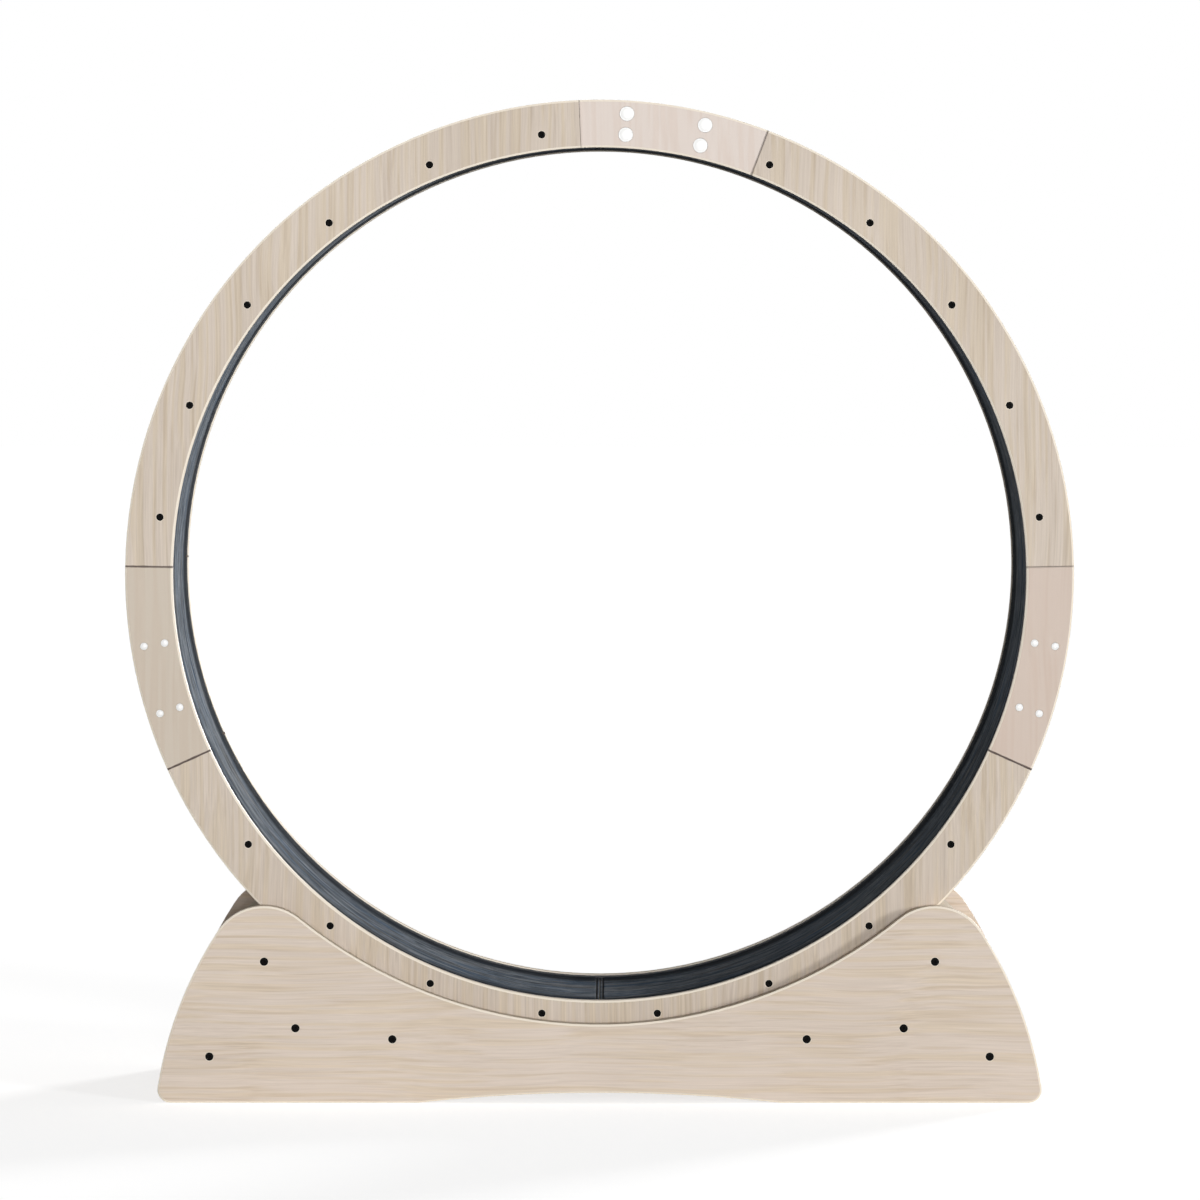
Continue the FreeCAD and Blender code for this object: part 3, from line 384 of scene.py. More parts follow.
# %% [markdown]
# Where the lines are is read from the model too: the corners of each splice plate give the angles
# of its two ends. The lines at the lower ends are the darkest, and the top plate's are fainter.

# %% Find the joint angles


def clockwise_angle(point):
    """The angle of a point round the wheel's axis, clockwise from the top."""
    return math.atan2(point[0], point[2] - AXIS_Z)


def plate_ends(name):
    """The two end angles of a splice plate."""
    middle = sum(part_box(name), Vector()) / 2
    base = clockwise_angle(middle)
    corners = [vertex.co for vertex in nodes[name].data.vertices]
    full, half = 2 * math.pi, math.pi
    turns = [(clockwise_angle(point) - base + half) % full - half for point in corners]
    return base + min(turns), base + max(turns)


joint_lines = []
for name, first_strength, second_strength in (
    ("splice_front_top", 0.12, 0.6),
    ("splice_front_right", 0.35, 1.0),
    ("splice_front_left", 1.0, 0.85),
):
    first, second = plate_ends(name)
    joint_lines += [(first, first_strength), (second, second_strength)]
print("joint lines at", [round(math.degrees(angle), 1) for angle, _ in joint_lines])

# %% [markdown]
# ## Board finishes
# One function makes each board's material: the grain group for the faces, and the core where the
# board is cut, with a painted highlight where it is eased. The rings and plates also get their joint
# lines, and the rings painted shade on their inward faces. A satin print has a mid roughness that
# varies a little with the grain.

# %% Make the board materials
# The eased edges' core colour is the real pale core raised to a painted highlight.
PALE_CORE_HIGHLIGHT = srgb(251, 240, 222)
SAWN_CORE = srgb(222, 206, 182)
# Painted shade for the rings' inward faces beside the track.
PAINTED_INSIDE_SHADE = srgb(30, 33, 38)
SCORCH = srgb(78, 58, 46)
EASED_SHARE = 0.92
LINE_HALF_WIDTH = 1.6 * MM
BOARD_RELIEF = 0.06 * MM
PLATE_RELIEF = 0.02 * MM


def board_material(name, light, dark, squeeze, contrast, pores, tint, tint_amount,
                   lines=(), relief=BOARD_RELIEF, shade_inside=False):
    """A laminated board with grain on its faces, its core showing at the edges, and a painted
    highlight where they are eased.
    """
    material, tree, shader, place = new_material(name)
    grain = use_group(tree, grain_group, {
        "Position": place, "Squeeze": squeeze, "Light": light, "Dark": dark, "Contrast": contrast,
        "Pores": pores, "Tint": tint, "Tint Amount": tint_amount,
    })
    normal = surface_normal(tree)
    edges = use_group(tree, edge_group, {"Normal": normal})
    core_noise = ramp(tree, noise(tree, place, 900.0, 3.0, 0.7), 0.3, 0.75)
    core = blend_colours(tree, core_noise, SAWN_CORE, blend_colours(tree, 0.35, SAWN_CORE, SCORCH))
    colour = blend_colours(tree, edges.outputs["Sawn"], grain.outputs["Color"], core)
    eased_share = calc(tree, "MULTIPLY", edges.outputs["Eased"], EASED_SHARE)
    # Painted highlight: the eased edges take a core colour paler than the sawn one.
    colour = blend_colours(tree, eased_share, colour, PALE_CORE_HIGHLIGHT)
    # Painted shade on a ring's inward face beside the track.
    if shade_inside:
        inside = use_group(tree, inside_shade_group, {"Position": place, "Normal": normal})
        colour = blend_colours(tree, inside.outputs["Lined"], colour, PAINTED_INSIDE_SHADE)
    for angle, strength in lines:
        inputs = {"Position": place, "Angle": angle, "Half Width": LINE_HALF_WIDTH}
        line = use_group(tree, line_group, inputs)
        share = calc(tree, "MULTIPLY", line.outputs["Line"], strength)
        colour = blend_colours(tree, share, colour, SCORCH)
    tree.links.new(colour, shader.inputs["Base Color"])
    gloss = ramp(tree, grain.outputs["Height"], 0.2, 0.8, 0.56, 0.44)
    tree.links.new(gloss, shader.inputs["Roughness"])
    bump(tree, shader, grain.outputs["Height"], relief, 0.6, over=edges.outputs["Soft Normal"])
    return material


UPRIGHT = (520.0, 520.0, 9.0)
LEVEL = (11.0, 560.0, 560.0)
ring_wood = board_material(
    "ring_wood", srgb(222, 208, 193), srgb(191, 176, 160), UPRIGHT, contrast=1.15, pores=0.22,
    tint=srgb(251, 247, 232), tint_amount=0.6, lines=joint_lines, shade_inside=True,
)
panel_wood = board_material(
    "panel_wood", srgb(232, 217, 203), srgb(205, 189, 173), LEVEL, contrast=0.85, pores=0.25,
    tint=srgb(252, 248, 234), tint_amount=0.7,
)
plate_woods = {
    side: board_material(
        f"plate_wood_{side}", light, dark, UPRIGHT, contrast=0.35, pores=0.05,
        tint=srgb(244, 234, 226), tint_amount=0.3, lines=joint_lines, relief=PLATE_RELIEF,
    )
    for side, light, dark in (
        ("top", srgb(229, 217, 208), srgb(220, 206, 196)),
        ("left", srgb(209, 196, 180), srgb(200, 187, 170)),
        ("right", srgb(214, 196, 183), srgb(205, 187, 172)),
    )
}
print("board materials:", 2 + len(plate_woods))

# %% [markdown]
# ## Pine battens and crossbars
# The hidden bars are plain planed pine with grain along their length, and darker end grain where
# they are cut. The board material would take their long sides for sawn edges, because those don't
# look along Y. So the pine has a material of its own, with growth rings on its ends.

# %% Make the pine material
PINE_RELIEF = 0.12 * MM
END_TURN = 0.9
pine, tree, shader, place = new_material("pine")
grain = use_group(tree, grain_group, {
    "Position": place, "Squeeze": (190.0, 7.0, 190.0),
    "Light": srgb(236, 214, 178), "Dark": srgb(208, 174, 130),
    "Contrast": 1.0, "Pores": 0.25, "Tint": srgb(255, 240, 220), "Tint Amount": 0.5,
})
rings_wave = put(
    tree, "ShaderNodeTexWave", {"Vector": place, "Scale": 60.0, "Distortion": 3.0, "Detail": 2.0},
    wave_type="RINGS", rings_direction="Y",
).outputs["Fac"]
end_colour = blend_colours(tree, rings_wave, srgb(196, 158, 112), srgb(160, 118, 76))
facing = put(tree, "ShaderNodeSeparateXYZ", {0: surface_normal(tree)}).outputs["Y"]
is_end = calc(tree, "GREATER_THAN", calc(tree, "ABSOLUTE", facing), END_TURN)
colour = blend_colours(tree, is_end, grain.outputs["Color"], end_colour)
tree.links.new(colour, shader.inputs["Base Color"])
gloss = ramp(tree, grain.outputs["Height"], 0.2, 0.8, 0.66, 0.52)
tree.links.new(gloss, shader.inputs["Roughness"])
bump(tree, shader, grain.outputs["Height"], PINE_RELIEF, 0.7)
print("pine:", len(tree.nodes), "nodes")

# %% [markdown]
# ## Bent plywood
# The liner behind the carpet is thin plywood, bent round. Its face grain runs across the wheel, so
# that it bends easily. Only its outside shows, between the battens, so its plies need no colour.

# %% Make the plywood material
PLYWOOD_RELIEF = 0.1 * MM
plywood, tree, shader, place = new_material("plywood")
grain = use_group(tree, grain_group, {
    "Position": place, "Squeeze": (150.0, 10.0, 150.0),
    "Light": srgb(232, 210, 174), "Dark": srgb(206, 176, 136),
    "Contrast": 0.8, "Pores": 0.35, "Tint": srgb(250, 234, 208), "Tint Amount": 0.6,
})
tree.links.new(grain.outputs["Color"], shader.inputs["Base Color"])
gloss = ramp(tree, grain.outputs["Height"], 0.2, 0.8, 0.7, 0.55)
tree.links.new(gloss, shader.inputs["Roughness"])
bump(tree, shader, grain.outputs["Height"], PLYWOOD_RELIEF, 0.7)
print("plywood:", len(tree.nodes), "nodes")

# %% [markdown]
# ## Metal, plastic and rubber
# Small wear and dust make hard parts look real. One group gives fine scratches round the axis and
# a soft mottling, and each material takes from it what it needs.

# %% Build the handling group
wear_group, given, result = new_group(
    "handling", [("Position", V, None), ("Squeeze", V, (1.0, 1.0, 1.0)), ("Scale", F, 400.0)],
    [("Scratches", F), ("Mottle", F)],
)
spot = vector_calc(wear_group, "MULTIPLY", given.outputs["Position"], given.outputs["Squeeze"])
scratches = noise(wear_group, spot, given.outputs["Scale"], 3.0, 0.65)
mottle = noise(wear_group, given.outputs["Position"], 55.0, 3.0)
wear_group.links.new(scratches, result.inputs["Scratches"])
wear_group.links.new(mottle, result.inputs["Mottle"])
print("handling group:", len(wear_group.nodes), "nodes")

# %% [markdown]
# The hard parts differ in their two tones, how shiny they are and how much that varies. A lathed
# shaft has its scratches round it, so the noise is squeezed along its length. Rubber has a coarser
# skin than nylon or steel.

# %% Make the hard materials
SMOOTH_RELIEF = 0.02 * MM
RUBBER_RELIEF = 0.1 * MM
EVEN = (1.0, 1.0, 1.0)
LATHED = (1.0, 14.0, 1.0)


def hard_material(name, light, dark, roughness, spread, squeeze=EVEN, scale=400.0,
                  relief=SMOOTH_RELIEF, **sockets):
    """Metal, plastic or rubber: two close tones mottled together, and roughness that varies."""
    material, tree, shader, place = new_material(name, **sockets)
    wear = use_group(tree, wear_group, {"Position": place, "Squeeze": squeeze, "Scale": scale})
    mottle = ramp(tree, wear.outputs["Mottle"], 0.35, 0.65)
    tree.links.new(blend_colours(tree, mottle, light, dark), shader.inputs["Base Color"])
    low, high = roughness - spread, roughness + spread
    gloss = ramp(tree, wear.outputs["Scratches"], 0.3, 0.7, low, high)
    tree.links.new(gloss, shader.inputs["Roughness"])
    bump(tree, shader, wear.outputs["Scratches"], relief, 0.5)
    return material


black_zinc = hard_material("black_zinc", srgb(9, 8, 8), srgb(4, 4, 4), 0.5, 0.1, shine=0.04)
steel = hard_material(
    "steel", srgb(196, 196, 197), srgb(168, 168, 170), 0.3, 0.08, LATHED, 500.0, metallic=1.0
)
bearing_steel = hard_material(
    "bearing_steel", srgb(205, 205, 207), srgb(178, 178, 181), 0.24, 0.07, metallic=1.0
)
nylon = hard_material("nylon", srgb(214, 206, 190), srgb(202, 193, 176), 0.44, 0.07)
rubber = hard_material(
    "rubber", srgb(84, 84, 86), srgb(66, 66, 68), 0.72, 0.1, scale=1500.0, relief=RUBBER_RELIEF
)
cap_white = hard_material("cap_white", srgb(252, 252, 251), srgb(246, 246, 244), 0.32, 0.05)
print("materials so far:", len(bpy.data.materials))

# %% [markdown]
# ## Carpet
# The track is a ribbed needle-felt mat, dark slate with blue, grey and a few brownish fibres. The
# ribs run round the wheel. They are real shape, made below, and the material adds what is smaller:
# streaks of fibre along the ribs, single pale fibres, and painted shade in the valleys between ribs.
# How far a point is from the axis tells crest from valley. Painted shade darkens a band along both
# edges, next to the rings, and a dark line marks each welded end.

# %% Make the carpet material
MAT_THICKNESS = 3.5 * MM
RIB_HEIGHT = 1.1 * MM
CREST_RADIUS = MAT_OUTER - MAT_THICKNESS
WELD_GROOVE = 3.2 * MM
CARPET_RELIEF = 0.6 * MM
STREAK_SQUEEZE = (38.0, 300.0, 1.0)
HUE_SQUEEZE = (9.0, 130.0, 1.0)
BROAD_SQUEEZE = (5.0, 42.0, 1.0)
carpet, tree, shader, place = new_material("carpet", roughness=0.95, shine=0.1)
to_right, depth, up = split_at_axis(tree, place)
radius = hypotenuse(tree, to_right, up)
turn = calc(tree, "ARCTAN2", to_right, up)
along_track = calc(tree, "MULTIPLY", turn, CREST_RADIUS)
unrolled = put(tree, "ShaderNodeCombineXYZ", {0: along_track, 1: depth}).outputs[0]


def fibres(squeeze, detail=3.0, roughness=0.6):
    """Noise drawn out along the track and squeezed across it."""
    return noise(tree, vector_calc(tree, "MULTIPLY", unrolled, squeeze), 1.0, detail, roughness)


streaks = fibres(STREAK_SQUEEZE)
broad = fibres(BROAD_SQUEEZE)
hue = fibres(HUE_SQUEEZE, 2.0, 0.5)
tufts = noise(tree, place, 620.0, 3.0, 0.7)
colour = blend_colours(
    tree, ramp(tree, streaks, 0.36, 0.64), srgb(90, 98, 107), srgb(160, 167, 174)
)
for source, low, high, out_low, out_high, tone in (
    (broad, 0.36, 0.56, 0.7, 0.0, srgb(72, 80, 90)),
    (broad, 0.52, 0.68, 0.0, 0.65, srgb(160, 166, 172)),
    (hue, 0.5, 0.7, 0.0, 0.6, srgb(132, 128, 125)),
    (hue, 0.5, 0.3, 0.0, 0.75, srgb(92, 115, 141)),
    (tufts, 0.62, 0.74, 0.0, 0.5, srgb(168, 173, 178)),
):
    share = ramp(tree, source, low, high, out_low, out_high)
    colour = blend_colours(tree, share, colour, tone)
print("carpet fibres:", len(tree.nodes), "nodes")

# %% [markdown]
# The last three layers follow the mat's shape: painted shade in the valleys between ribs, painted
# shade along each edge, and the groove of the weld near each end, which is straight and so is found
# by its X alone.

# %% Paint shade into the carpet's valleys and along its edges, and darken its welds
VALLEY_START = CREST_RADIUS + 0.2 * RIB_HEIGHT
EDGE_SHADE_FULL, EDGE_SHADE_END = 31.9 * MM, 72.5 * MM
SEAM_FULL, SEAM_END = 0.5 * MM, 1.6 * MM
NEAR_SEAMS = 0.9 * CREST_RADIUS
# Painted shade: the valleys between ribs darken towards the mat's back.
painted_valley_shade = ramp(tree, radius, VALLEY_START, CREST_RADIUS + RIB_HEIGHT, 0.0, 0.6)
colour = blend_colours(tree, painted_valley_shade, colour, srgb(44, 49, 56))
# Painted shade: a dark band along both edges of the mat, next to the rings.
from_edge = calc(tree, "SUBTRACT", MAT_HALF, calc(tree, "ABSOLUTE", depth))
painted_edge_shade = ramp(tree, from_edge, EDGE_SHADE_FULL, EDGE_SHADE_END, 0.85, 0.0)
colour = blend_colours(tree, painted_edge_shade, colour, srgb(32, 36, 42))
seam_gap = calc(tree, "SUBTRACT", calc(tree, "ABSOLUTE", to_right), WELD_GROOVE)
seam_dark = ramp(tree, calc(tree, "ABSOLUTE", seam_gap), SEAM_FULL, SEAM_END, 0.9, 0.0)
top_or_bottom = calc(tree, "GREATER_THAN", calc(tree, "ABSOLUTE", up), NEAR_SEAMS)
seam_dark = calc(tree, "MULTIPLY", seam_dark, top_or_bottom)
colour = blend_colours(tree, seam_dark, colour, srgb(18, 20, 24))
tree.links.new(colour, shader.inputs["Base Color"])
bump(tree, shader, calc(tree, "ADD", tufts, streaks), CARPET_RELIEF, 0.9)
print("carpet:", len(tree.nodes), "nodes")

# %% [markdown]
# ## Give the model's own pieces their finishes
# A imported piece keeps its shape, and only its material slot changes. The pieces that new meshes
# will replace are skipped here.

# %% Assign materials
finishes = {
    "ring_": ring_wood, "base_panel": panel_wood, "battens": pine, "crossbar": pine,
    "liner": plywood, "roller_shaft": steel, "roller_hub": nylon, "shaft_": nylon,
    "roller_tyre": rubber, "roller_bearings": bearing_steel, "splice_screws": black_zinc,
}
for side, wood in plate_woods.items():
    finishes[f"splice_front_{side}"] = wood
    finishes[f"splice_back_{side}"] = wood

finished = 0
for name, piece in nodes.items():
    for start, material in finishes.items():
        if name.startswith(start):
            piece.data.materials.clear()
            piece.data.materials.append(material)
            finished += 1
print(finished, "packed pieces have their finish")

# %% [markdown]
# ## Building meshes from rings of points
# A screw head, a cap and a mat are all grids: rows of points joined into four-sided faces. One
# helper turns a grid into a mesh, joins copies of it, and smooths it by angle so that real corners
# stay sharp.

# %% Mesh helpers
SHARP = math.radians(35)
MERGE_WITHIN = 1e-7


def mesh_object(name, vertices, faces, material):
    """A mesh object with outward faces, smooth except at sharp corners."""
    mesh = bpy.data.meshes.new(name)
    mesh.from_pydata([tuple(vertex) for vertex in vertices], [], faces)
    work = bmesh.new()
    work.from_mesh(mesh)
    bmesh.ops.remove_doubles(work, verts=work.verts, dist=MERGE_WITHIN)
    bmesh.ops.recalc_face_normals(work, faces=work.faces)
    work.to_mesh(mesh)
    work.free()
    for polygon in mesh.polygons:
        polygon.use_smooth = True
    mesh.set_sharp_from_angle(angle=SHARP)
    made = bpy.data.objects.new(name, mesh)
    scene.collection.objects.link(made)
    mesh.materials.append(material)
    return made


def grid_faces(rows, columns, closed=True):
    """Faces between neighbouring rows; closed joins each row's last point to its first."""
    faces = []
    for row in range(rows - 1):
        for column in range(columns if closed else columns - 1):
            beside = (column + 1) % columns
            here, above = row * columns, (row + 1) * columns
            faces.append((here + column, here + beside, above + beside, above + column))
    return faces


def turned_faces(rows, columns):
    """The faces of a turned shape, with a face over its first row and over its last."""
    last = (rows - 1) * columns
    ends = [tuple(range(columns)), tuple(range(last, last + columns))]
    return grid_faces(rows, columns) + ends


def islands(name):
    """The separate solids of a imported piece, each as an array of its corners."""
    mesh = nodes[name].data
    parent = list(range(len(mesh.vertices)))

    def root(index):
        while parent[index] != index:
            parent[index] = parent[parent[index]]
            index = parent[index]
        return index

    seen = {}
    for vertex in mesh.vertices:
        key = tuple(round(part, 6) for part in vertex.co)
        parent[root(vertex.index)] = root(seen.setdefault(key, vertex.index))
    for edge in mesh.edges:
        parent[root(edge.vertices[0])] = root(edge.vertices[1])
    groups = {}
    for vertex in mesh.vertices:
        groups.setdefault(root(vertex.index), []).append(tuple(vertex.co))
    return [np.array(points) for points in groups.values()]


# %% [markdown]
# ## Screw heads
# The screws are black countersunk ones with a hexagon socket. A plain solid shows only a disc. The
# head here is rings of points from the rim inwards: the outer rings are round, the inner ones
# follow the hexagon, and the socket drops from them to a flat floor. The same shape is placed at
# every screw, scaled to its solid, with its head outwards.

# %% Model the screws
ROUND_STEPS = 24
SECTOR = math.radians(60)
SOCKET_SHARE = 0.42
SOCKET_DEPTH = 0.45
THICKEST_SHANK = 0.6


def ring_points(radius, depth, hexagon=False):
    """A ring about Y at a depth, round or with its points moved in to a hexagon."""
    points = []
    for step in range(ROUND_STEPS):
        angle = 2 * math.pi * step / ROUND_STEPS
        reach = radius
        if hexagon:
            reach *= math.cos(SECTOR / 2) / math.cos((angle % SECTOR) - SECTOR / 2)
        points.append((reach * math.sin(angle), depth, reach * math.cos(angle)))
    return points


def screw_points(head, shank, length):
    """A countersunk screw along +Y with its head's face at zero, as rings of points."""
    socket = head * SOCKET_SHARE
    rings = [
        ring_points(socket * 0.02, head * SOCKET_DEPTH * 1.15, hexagon=True),  # floor's middle
        ring_points(socket, head * SOCKET_DEPTH, hexagon=True),  # foot of the socket's wall
        ring_points(socket, head * 0.06, hexagon=True),  # top of the wall
        ring_points(socket * 1.1, 0.0, hexagon=True),  # its eased lip
        ring_points(head * 0.93, 0.0),  # flat face
        ring_points(head * 0.995, head * 0.03),  # rounded rim
        ring_points(head * 0.995, head * 0.09),
        ring_points(shank, head - shank),  # foot of the cone
        ring_points(shank, length - 2 * shank),
        ring_points(shank * 0.03, length),  # point
    ]
    return [point for ring in rings for point in ring], len(rings)


HEAD_RIM = 0.25
TIP_SHARE = 0.2


def replace_screws(name, body):
    """Model every screw of a packed group again, with its socket."""
    vertices, faces = [], []
    for points in islands(name):
        low, high = points.min(axis=0), points.max(axis=0)
        centre = (low + high) / 2
        head = (high[0] - low[0]) / 2
        depths = np.abs(points[:, 1])
        deepest = depths.min()
        from_middle = np.hypot(points[:, 0] - centre[0], points[:, 2] - centre[2])
        below_head = depths < depths.max() - HEAD_RIM * head
        below_head &= depths > deepest + TIP_SHARE * np.ptp(depths)
        shank = min(from_middle[below_head].max(), head * THICKEST_SHANK)
        shape, rows = screw_points(head, shank, np.ptp(depths))
        outward = 1 if centre[1] > 0 else -1
        start = len(vertices)
        face_y = outward * depths.max()
        vertices += [(centre[0] + x, face_y - outward * y, centre[2] + z) for x, y, z in shape]
        grid = turned_faces(rows, ROUND_STEPS)
        faces += [tuple(start + corner for corner in face) for face in grid]
    made = mesh_object(f"{name}_detailed", vertices, faces, black_zinc)
    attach(made, body)
    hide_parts(name)
    return made


for name, body in (("batten_screws", "wheel"), ("panel_screws", "base")):
    made = replace_screws(name, body)
    print(made.name, len(made.data.polygons), "faces")

# %% [markdown]
# ## Cover caps
# Each splice screw hides under a white snap-in cap. A real cap is a shallow dome with a thin rolled
# rim, and a flat disc would catch no light. The dome is turned from a short profile.

# %% Model the caps
# Shares of the cap's radius and of its thickness: the dome, a shallow groove, the rim, the foot.
CAP_PROFILE = [
    (0.001, 0.0), (0.35, 0.03), (0.62, 0.1), (0.8, 0.2),
    (0.86, 0.27), (0.9, 0.22), (0.95, 0.22),
    (0.99, 0.32), (1.0, 0.5), (1.0, 1.0), (0.001, 1.0),
]


def replace_caps(name):
    """Model the caps of a packed group again as shallow domes."""
    vertices, faces = [], []
    for points in islands(name):
        low, high = points.min(axis=0), points.max(axis=0)
        centre = (low + high) / 2
        radius = (high[0] - low[0]) / 2
        outward = 1 if centre[1] > 0 else -1
        front, back = np.abs(points[:, 1]).max(), np.abs(points[:, 1]).min()
        thick = front - back
        start = len(vertices)
        for share, depth in CAP_PROFILE:
            ring = ring_points(radius * share, thick * depth)
            vertices += [(centre[0] + x, outward * (front - y), centre[2] + z) for x, y, z in ring]
        grid = turned_faces(len(CAP_PROFILE), ROUND_STEPS)
        faces += [tuple(start + corner for corner in face) for face in grid]
    made = mesh_object(f"{name}_domed", vertices, faces, cap_white)
    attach(made, "wheel")
    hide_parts(name)
    return made


for name in ("splice_caps_top", "splice_caps_side"):
    made = replace_caps(name)
    print(made.name, len(made.data.polygons), "faces")

# %% [markdown]
# ## The carpet mats
# Each mat is one long strip that lines half the wheel. Its points are worked out flat: s runs along
# the strip, w runs across it. The top surface is a row of round ribs with small swells, and it dips
# at the two long edges. Near each end the ribs are pressed flat under a welded seam, which is what
# shows at the bottom of the track. Random heights give the fibres' roughness. Then the strip is
# wrapped round the axis.

# %% Model the mats
RIBS = 66
POINTS_PER_RIB = 4
EDGE_DIP, EDGE_WIDTH = 1.4 * MM, 2.2 * MM
WELD_REACH = 6.0 * MM
PRESSED_DROP = 0.35 * MM
GROOVE_DEPTH, GROOVE_WIDTH = 1.2 * MM, 0.8 * MM
END_DROP, END_WIDTH = 0.5 * MM, 0.7 * MM
FIBRE_HEIGHT = 0.06 * MM
LONG_SWELL, SHORT_SWELL = 0.14, 0.1
PRESSED_SHARE = 0.7
LEAST_THICKNESS = 0.8 * MM
BACK_PLAY = 0.1 * MM
END_STEPS = np.array([0.0, 0.3, 0.7, 1.2, 1.8, 2.3, 2.7, 3.2, 3.7, 4.1, 4.6, 5.4, 6.5, 8.5, 12.0])
MIDDLE_START, MIDDLE_ROWS = 18 * MM, 190
random = np.random.default_rng(11)


def mat_top(s, w, length, half):
    """Height of the mat's face below its crests, at distances along and across."""
    phase = (w + half) / (2 * half) * RIBS
    rib = 0.5 - 0.5 * np.cos(2 * math.pi * phase)
    swell = LONG_SWELL * np.sin(s * 61 + 9 * np.sin(w * 37)) + SHORT_SWELL * np.sin(s * 173 + w * 911)
    drop = RIB_HEIGHT * (1 - rib) * (1 + swell)
    from_edge = half - np.abs(w)
    drop += EDGE_DIP * np.exp(-(from_edge / EDGE_WIDTH) ** 2)
    from_end = np.minimum(s, length - s)
    pressed = np.clip(1 - from_end / WELD_REACH, 0, 1)
    pressed = pressed * pressed * (3 - 2 * pressed)
    drop = drop * (1 - PRESSED_SHARE * pressed) + PRESSED_DROP * pressed
    drop += GROOVE_DEPTH * np.exp(-((from_end - WELD_GROOVE) / GROOVE_WIDTH) ** 2)
    drop += END_DROP * np.exp(-(from_end / END_WIDTH) ** 2)
    return drop


def replace_mat(name):
    """Model one mat again with ribs, pressed ends and dipped edges."""
    corners = np.array([tuple(vertex.co) for vertex in nodes[name].data.vertices])
    side = 1 if corners[:, 0].mean() > 0 else -1
    angles = np.arctan2(side * corners[:, 0], corners[:, 2] - AXIS_Z)
    first, last = angles.min(), angles.max()
    inner = np.hypot(corners[:, 0], corners[:, 2] - AXIS_Z).min()
    length = (last - first) * inner
    end_steps = END_STEPS * MM
    middle = np.linspace(MIDDLE_START, length - MIDDLE_START, MIDDLE_ROWS)
    along = np.concatenate([end_steps, middle, length - end_steps[::-1]])
    across = np.linspace(-MAT_HALF, MAT_HALF, RIBS * POINTS_PER_RIB + 1)
    s, w = np.meshgrid(along, across, indexing="ij")
    drop = mat_top(s, w, length, MAT_HALF)
    drop += random.normal(0, FIBRE_HEIGHT, drop.shape)
    drop = np.clip(drop, 0, MAT_OUTER - inner - LEAST_THICKNESS)
    angle = first + s / inner
    radius = inner + drop

    def wrap(radius, angle, w):
        return np.stack([side * radius * np.sin(angle), w, AXIS_Z + radius * np.cos(angle)], axis=-1)

    top = wrap(radius, angle, w)
    rows, columns = s.shape
    vertices = top.reshape(-1, 3)
    faces = grid_faces(rows, columns, closed=False)
    back_columns = [0, columns - 1]
    back_radius = np.full((rows, 2), MAT_OUTER - BACK_PLAY)
    back = wrap(back_radius, angle[:, back_columns], w[:, back_columns])
    start = len(vertices)
    vertices = np.concatenate([vertices, back.reshape(-1, 3)])
    for row in range(rows - 1):
        here, above = row * columns, (row + 1) * columns
        low, high = start + 2 * row, start + 2 * (row + 1)
        faces.append((low, low + 1, high + 1, high))
        faces.append((here, above, high, low))
        faces.append((here + columns - 1, low + 1, high + 1, above + columns - 1))
    for row in (0, rows - 1):
        edge = [row * columns + column for column in range(columns)]
        faces.append(tuple(edge + [start + 2 * row + 1, start + 2 * row]))
    made = mesh_object(f"{name}_ribbed", vertices, faces, carpet)
    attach(made, "wheel")
    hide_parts(name)
    return made, length


for name in ("mat_right", "mat_left"):
    made, length = replace_mat(name)
    print(f"{made.name}: {length:.3f} m long, {len(made.data.polygons)} faces")

# %% [markdown]
# ## Floor, background and light
# The photograph has a pure white background. The boards are evenly lit, and their eased edges are
# pale all round, so most of the light on them comes from straight in front. The carpet tells more:
# it is bright on the left, half as bright at the bottom and nearly black on the right, so light also
# comes low from the right, in front of the wheel and behind it. Three distant lamps with soft edges
# do that, and the world fills the rest. White is added only for rays from the camera, and for those
# that mirror or pass through, so the background is white without more light on the wood.

# %% Floor
FLOOR_SIZE = 60.0
FLOOR_GAP = 0.2 * MM
FLOOR_COLOUR = (0.8, 0.8, 0.8, 1)
FLOOR_GLOW = 0.75
WHITE = (1, 1, 1, 1)
floor_mesh = bpy.data.meshes.new("floor")
half = FLOOR_SIZE / 2
floor_mesh.from_pydata(
    [(-half, -half, 0), (half, -half, 0), (half, half, 0), (-half, half, 0)], [], [(0, 1, 2, 3)]
)
floor = bpy.data.objects.new("floor", floor_mesh)
floor.location.z = min(cad_low.z, 0) - FLOOR_GAP
scene.collection.objects.link(floor)


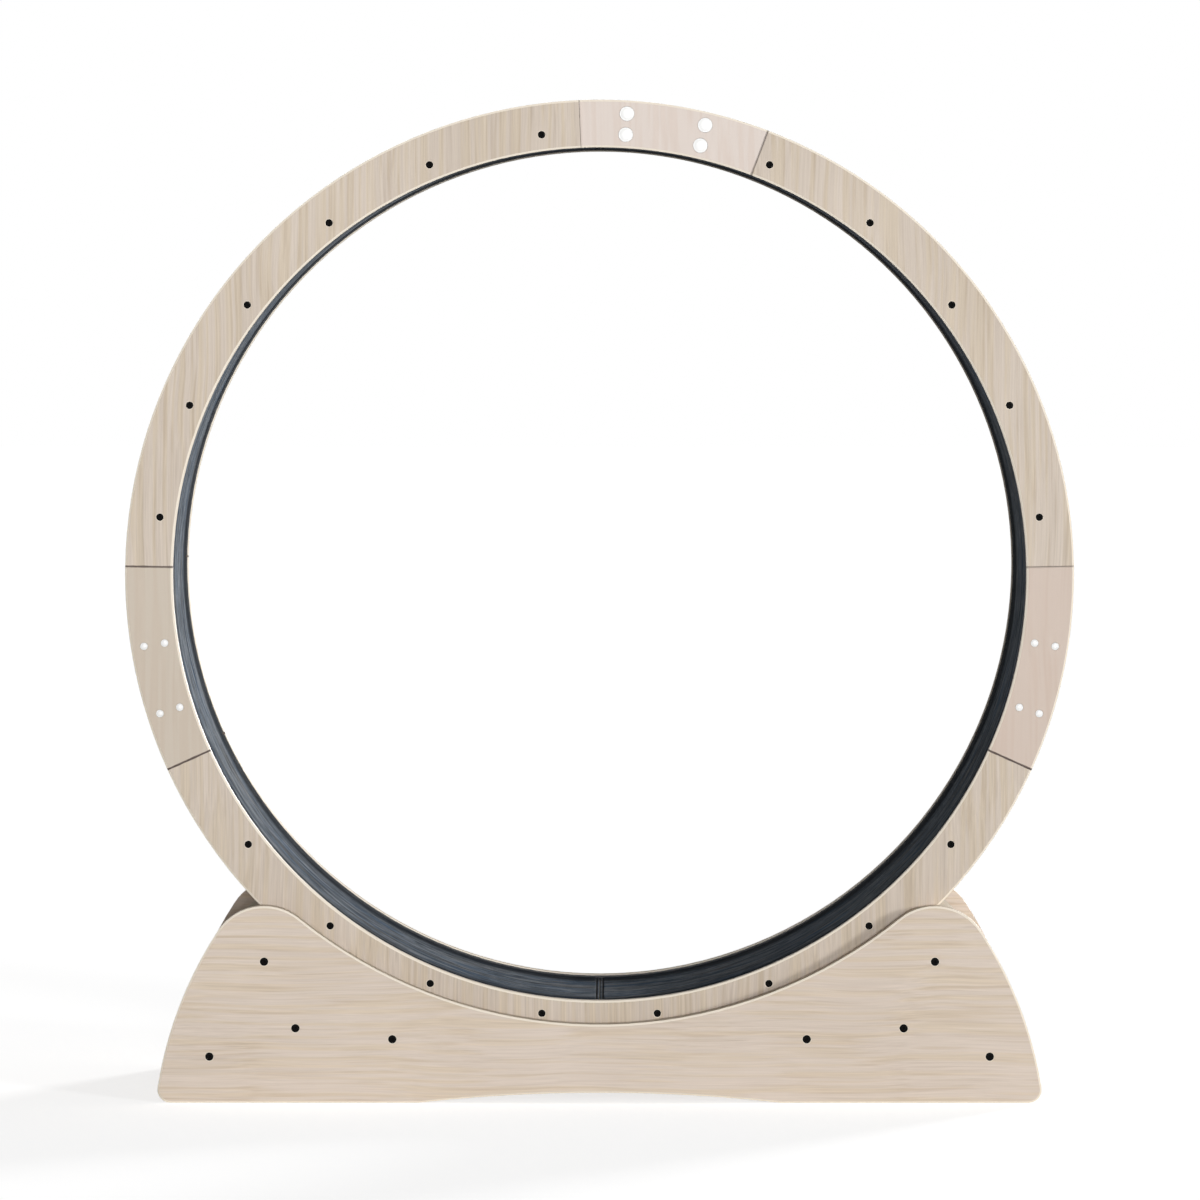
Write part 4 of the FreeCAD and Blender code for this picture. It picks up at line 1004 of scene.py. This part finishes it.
def seen_directly(tree):
    """1 for camera, mirror and see-through rays, 0 for the light that reaches the object."""
    path = put(tree, "ShaderNodeLightPath")
    seen = calc(tree, "MAXIMUM", path.outputs["Is Camera Ray"], path.outputs["Is Glossy Ray"])
    return calc(tree, "MAXIMUM", seen, path.outputs["Is Transmission Ray"])


floor_paint = bpy.data.materials.new("floor_paint")
floor_paint.use_nodes = True
tree = floor_paint.node_tree
tree.nodes.clear()
diffuse = put(tree, "ShaderNodeBsdfDiffuse", {"Color": FLOOR_COLOUR})
glow_strength = calc(tree, "MULTIPLY", seen_directly(tree), FLOOR_GLOW)
glow = put(tree, "ShaderNodeEmission", {"Color": WHITE, "Strength": glow_strength})
both = put(tree, "ShaderNodeAddShader", {0: diffuse.outputs[0], 1: glow.outputs[0]})
put(tree, "ShaderNodeOutputMaterial", {"Surface": both.outputs[0]})
floor_mesh.materials.append(floor_paint)
print(f"floor at {1000 * floor.location.z:.1f} mm")

# %% World and lamps
WORLD_LIGHT = 0.13
LAMP_DISTANCE = 5.0
world = bpy.data.worlds.new("studio")
scene.world = world
world.use_nodes = True
tree = world.node_tree
tree.nodes.clear()
strength = ramp(tree, seen_directly(tree), 0.0, 1.0, WORLD_LIGHT, 1.0)
back = put(tree, "ShaderNodeBackground", {"Color": WHITE, "Strength": strength})
put(tree, "ShaderNodeOutputWorld", {"Surface": back.outputs[0]})


def distant_lamp(name, to_the_right, up, strength, softness):
    """A far lamp, turned to the right from the front and raised, both in degrees."""
    right, height = math.radians(to_the_right), math.radians(up)
    level = math.cos(height)
    toward = Vector((math.sin(right) * level, -math.cos(right) * level, math.sin(height)))
    data = bpy.data.lights.new(name, "SUN")
    data.energy = strength
    data.angle = math.radians(softness)
    made = bpy.data.objects.new(name, data)
    made.rotation_mode = "QUATERNION"
    made.rotation_quaternion = (-toward).to_track_quat("-Z", "Y")
    made.location = toward * LAMP_DISTANCE
    scene.collection.objects.link(made)


distant_lamp("front", to_the_right=4, up=2, strength=1.3, softness=7)
distant_lamp("front_right", to_the_right=41, up=8, strength=1.25, softness=9)
distant_lamp("back_right", to_the_right=150, up=9, strength=2.8, softness=12)

# %% [markdown]
# ## The size
# The imported model's box is printed.

# %% Print the imported box
print("packed box", [round(part, 4) for part in (*cad_low, *cad_high)])
